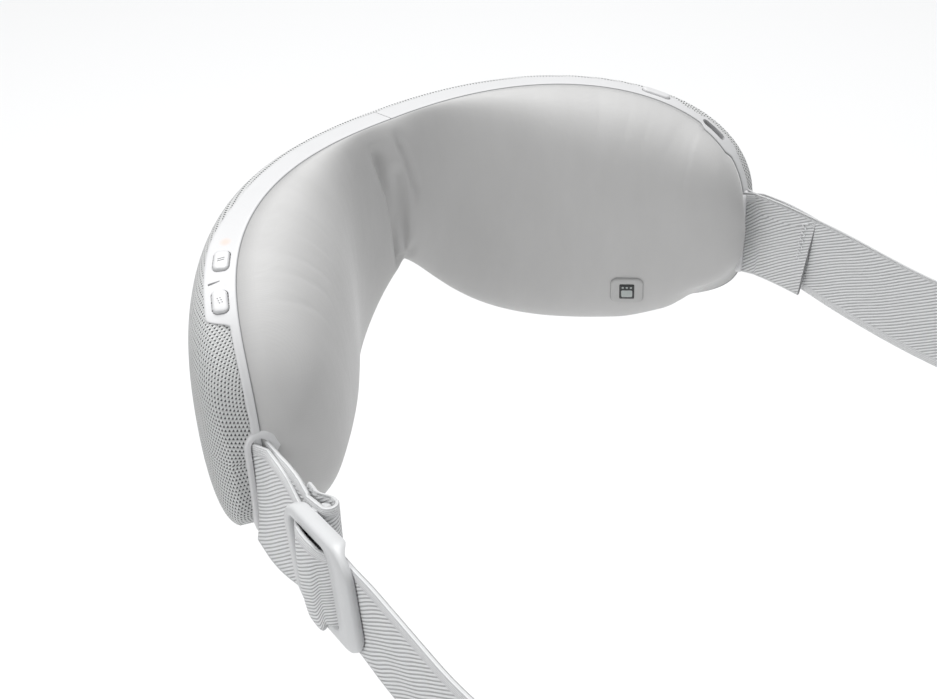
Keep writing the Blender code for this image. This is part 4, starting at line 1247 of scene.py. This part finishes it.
def layers(side, sewn):
    """The outer layer's line from the pin to the back, and the inner layer's from the pin to its sewn end."""
    middle = resample(band_middle(side), 0.0015)
    normals = level_normals(middle) * side
    lay = BAND_WALL / 2 + GAP / 2
    travelled = distances(middle)
    apart = INNER_APART[side] * smooth(0.004, 0.034, travelled)
    outer = middle + normals * lay
    inner = middle - normals * (lay + apart)[:, None]
    origin = np.array(anchor_origin(side))
    reach = np.linalg.norm(middle - origin, axis=1)
    inner[:, 2] += INNER_LIFT[side] * smooth(0.001, 0.020, travelled)
    inner = inner[reach < sewn]
    turn_points = pin_turn(side)
    half = len(turn_points) // 2
    return np.vstack([turn_points[:half][::-1], outer]), np.vstack([turn_points[half - 1 :], inner])


def roll_along(path, peak):
    travelled = distances(path)
    return peak * smooth(0.001, 0.010, travelled) * (1 - smooth(0.016, 0.044, travelled))


def build_straps():
    left_outer, left_inner = layers(1, BUCKLE_AT - 0.0102)
    left_inner = round_centre_bar(left_inner)
    right_outer, right_inner = layers(-1, BAND_SEWN_RIGHT)
    rolls = [roll_along(left_outer, LEFT_ROLL), -roll_along(right_outer, RIGHT_ROLL)[::-1]]
    loop = np.vstack([left_outer, right_outer[::-1][1:]])
    roll = np.concatenate([rolls[0], rolls[1][1:]])
    loop[1:-1] = (loop[:-2] + 2 * loop[1:-1] + loop[2:]) / 4
    near = np.linalg.norm(loop - np.array(buckle_frame().translation), axis=1)
    wide = BAND_WIDE + (BUCKLE_PASSAGE - BAND_WIDE) * (1 - smooth(0.012, 0.026, near))
    band = ribbon("head_band", loop, level_normals(loop), roll, wide=wide)
    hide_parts("strap_left", "strap_right")
    lean = roll_along(right_inner, RIGHT_ROLL)
    back = ribbon("band_return_right", right_inner, -level_normals(right_inner), lean, mirrored=True)
    near = np.linalg.norm(left_inner - np.array(buckle_frame().translation), axis=1)
    wide = BAND_WIDE + (BUCKLE_PASSAGE - BAND_WIDE) * (1 - smooth(0.008, 0.026, near))
    lean = roll_along(left_inner, LEFT_ROLL)
    front = ribbon("band_return_left", left_inner, level_normals(left_inner), lean, wide=wide)
    return band, back, front, sewn_across(right_inner)


def sewn_across(path):
    """A zigzag seam that holds the right return's end to the band."""
    ahead = path[-1] - path[-2]
    ahead /= np.linalg.norm(ahead)
    out = level_normals(path)[-1]
    up = np.cross(ahead, out)
    up *= np.sign(up[2])
    middle = path[-1] - ahead * SEWN_IN + out * (BAND_WALL / 2 + THREAD * 0.4)
    count = int(0.92 * BAND_WIDE / STITCH_PITCH)
    corners = [
        middle + up * (n - (count - 1) / 2) * STITCH_PITCH + ahead * STITCH_WIDE * (n % 2 - 0.5)
        for n in range(count)
    ]
    line = resample(np.array(corners), 0.0003)
    around = np.linspace(0, 2 * math.pi, 7)[:-1]
    along_line = np.gradient(line, axis=0)
    along_line /= np.linalg.norm(along_line, axis=1)[:, None]
    side = np.cross(along_line, out)
    verts = line[:, None] + THREAD * (
        side[:, None] * np.cos(around)[None, :, None] + out[None, None] * np.sin(around)[None, :, None]
    )
    seam_line = make("band_sewing_right", verts, tube_faces(len(line), len(around)))
    return dress(seam_line, "thread")


def fold_squash(piece):
    """Gives the piece its own copy of its mesh."""
    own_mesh(piece)


# ---------------------------------------------------------------- the buckle
def buckle_frame(tilt=BUCKLE_TILT):
    _, turn_in, _, straight = band_line(1)
    rise = Vector((straight.x, straight.y, BAND_CLIMB[1])).normalized()
    out = Vector((straight.y, -straight.x, 0))
    at = turn_in + straight * (BUCKLE_AT - (turn_in - anchor_origin(1)).length)
    at = at + UP * (BAND_CLIMB[1] * BUCKLE_AT + BUCKLE_RISE)
    return axes(at, rise, out.cross(rise)) @ Matrix.Rotation(tilt, 4, "Z")


def round_centre_bar(path):
    """Carries the inner layer on over the centre bar, round it and back under itself."""
    x, z, _, thick = CENTRE_BAR
    radius = thick / 2 + BAND_WALL / 2 + 0.0001
    low = 0.0025
    local = [(x + radius * math.sin(a), low, z + radius * math.cos(a)) for a in np.linspace(0, math.pi, 12)]
    for run in np.linspace(0.0010, 0.0090, 14):
        under = z - radius + 0.0022 * float(smooth(0.0008, 0.0060, run))
        local.append((x - run, low, under))
    return np.vstack([path, moved(buckle_frame(0.0), local)])


def build_buckle():
    """A rounded slider: its face is one loop round a window, with a smooth wide bar."""
    matrix = buckle_frame()
    window_long = BUCKLE_LONG - THIN_BAR - WIDE_BAR
    shift = (THIN_BAR - WIDE_BAR) / 2
    inner_wall = BUCKLE_TALL / 2 - SIDE_WALL

    def ring(long, tall, corner, height, lowers=0.0, moved=0.0):
        flat = rounded_outline(long, tall, corner, 12)
        fade = 1 - smooth(BUCKLE_LONG / 2 - 0.0075, BUCKLE_LONG / 2 - 0.0030, np.abs(flat[:, 0] + moved))
        z = np.where(np.abs(flat[:, 1]) > inner_wall - 0.00005, height - lowers * fade, height)
        return np.column_stack([flat[:, 0] + moved, flat[:, 1], z])

    drop = PASSAGE_TOP - BUCKLE_UNDER
    rings = [
        ring(BUCKLE_LONG - 2 * inset, BUCKLE_TALL - 2 * inset, BUCKLE_CORNER - inset, height, lowers)
        for inset, height, lowers in (
            (0.00040, PASSAGE_TOP, drop), (0, PASSAGE_TOP + 0.0005, drop), (0, BUCKLE_TOP - 0.0009, 0),
            (0.00025, BUCKLE_TOP - 0.0003, 0), (0.00070, BUCKLE_TOP, 0),
        )
    ]
    under = inner_wall - BUCKLE_WINDOW / 2
    rings += [
        ring(window_long + 2 * grow, BUCKLE_WINDOW + 2 * grow, WINDOW_CORNER + grow, height, lowers, shift)
        for grow, height, lowers in (
            (0.00060, BUCKLE_TOP, 0), (0.00018, BUCKLE_TOP - 0.00025, 0), (0, BUCKLE_TOP - 0.0008, 0),
            (0, PASSAGE_TOP + 0.0004, 0), (0.00030, PASSAGE_TOP, 0), (under - 0.0002, PASSAGE_TOP, 0),
            (under, PASSAGE_TOP, drop),
        )
    ]
    count = len(rings[0])
    faces = grid_faces(len(rings), count, wrap=True)
    last = (len(rings) - 1) * count
    faces += [[last + n, last + (n + 1) % count, (n + 1) % count, n] for n in range(count)]
    plate = make("buckle_frame", moved(matrix, np.concatenate(rings)), faces, sharp=math.radians(50))
    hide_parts("buckle")
    bar_x, bar_z, bar_wide, thick = CENTRE_BAR
    bar = button_shape(
        "buckle_centre_bar", BUCKLE_TALL - 2 * SIDE_WALL + 0.0004, bar_wide, 0.0010,
        ((0.0003, -thick / 2), (0, -thick / 2 + 0.0003), (0, thick / 2 - 0.0003), (0.0003, thick / 2)),
        buckle_frame(0.0) @ Matrix.Translation((bar_x, 0, bar_z)) @ Matrix.Rotation(math.pi / 2, 4, "Z"),
    )
    pieces = [plate, bar]
    for sign, word in ((1, "top"), (-1, "low")):
        at = matrix @ Matrix.Translation((bar_x, sign * (BUCKLE_TALL - SIDE_WALL) / 2, -0.0022))
        pieces.append(button_shape(
            f"buckle_foot_{word}", 0.0026, SIDE_WALL, 0.0006,
            ((0.0003, -0.0024), (0, -0.0021), (0, 0.0018), (0.0002, 0.0020)), at,
        ))
    for piece in pieces:
        dress(piece, "buckle", "buckle")
    build_arch()


def build_arch():
    """The band where it rises through the buckle's window, over the hidden centre bar, and spreads on top."""
    matrix = buckle_frame(0.0)
    left, right = -BUCKLE_LONG / 2 + THIN_BAR, BUCKLE_LONG / 2 - WIDE_BAR
    x = np.linspace(left - 0.0018, right + 0.0018, 56)
    share = np.clip((x - left) / (right - left), 0, 1)
    dome = 1 - np.abs(2 * share - 1) ** 2.6
    on_top = smooth(0.78, 0.97, dome)
    local = np.column_stack([x, np.full(len(x), -BUCKLE_RISE), 0.00075 + ARCH_HIGH * dome])
    path = moved(matrix, local)
    normals = np.tile(np.array(matrix.to_3x3().col[2]), (len(x), 1))
    arch_band = ribbon(
        "band_arch", path, normals, None, 38.0, 0.0004 + 0.0006 * on_top,
        ARCH_NARROW + ARCH_SPREAD * on_top, -ARCH_SAG * on_top,
    )
    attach(arch_band, "buckle")


# ---------------------------------------------------------------- the whole mask
def paint_inside():
    """Every CAD node that still shows gets its own kind of material."""
    for name, obj in NODES.items():
        kind = next((k for k, words in INNER.items() if name.startswith(words)), "steel")
        give(obj, PAINTS[kind])


def build_mask():
    paint_inside()
    cover = build_cushion()
    skin = build_mesh_skin()
    rims = {side: build_rim(side) for side in (1, -1)}
    tops = build_buttons(rims)
    build_marks(tops)
    build_port(rims[-1])
    for side in (1, -1):
        # the dark strip of painted shade in each seam's gap
        build_seam(side)
        build_anchor(side)
        build_pin(side)
    build_sensor()
    band, back, front, sewing = build_straps()
    build_buckle()
    for piece in (cover, skin):
        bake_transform(piece)
    for piece in (band, back, sewing):
        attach(piece, "right_half")
        fold_squash(piece)
    finish = buckle_frame().translation
    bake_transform(front)


# ---------------------------------------------------------------- the floor, the light and the camera
def area_light(name, location, size, power):
    data = bpy.data.lights.new(name, "AREA")
    data.shape = "DISK"
    data.size = size
    data.energy = power
    lamp = bpy.data.objects.new(name, data)
    lamp.location = location
    lamp.rotation_euler = (Vector(LIT_POINT) - Vector(location)).to_track_quat("-Z", "Y").to_euler()
    bpy.context.scene.collection.objects.link(lamp)


def build_stage():
    scene = bpy.context.scene
    scene.view_settings.view_transform = "Standard"
    corners = [(x, y, FLOOR_Z) for x, y in ((-8, -8), (8, -8), (8, 8), (-8, 8))]
    floor = make("floor", corners, [[0, 1, 2, 3]])
    give(floor, Paint("pale_floor", (FLOOR_ALBEDO,) * 3, 0.9))
    world = bpy.data.worlds.new("studio")
    world.use_nodes = True
    background = world.node_tree.nodes["Background"]
    background.inputs["Color"].default_value = WORLD_COLOUR
    background.inputs["Strength"].default_value = WORLD_STRENGTH
    scene.world = world
    for name, lamp in LAMPS.items():
        area_light(name, *lamp)


def build_camera():
    data = bpy.data.cameras.new("camera")
    data.sensor_width = 36
    data.sensor_fit = "HORIZONTAL"
    data.lens = CAMERA_LENS
    data.clip_start = 0.01
    camera = bpy.data.objects.new("camera", data)
    camera.matrix_world = axes(CAMERA_PLACE, CAMERA_RIGHT, CAMERA_UP)
    bpy.context.scene.collection.objects.link(camera)
    bpy.context.scene.camera = camera


build_mask()
build_stage()
build_camera()
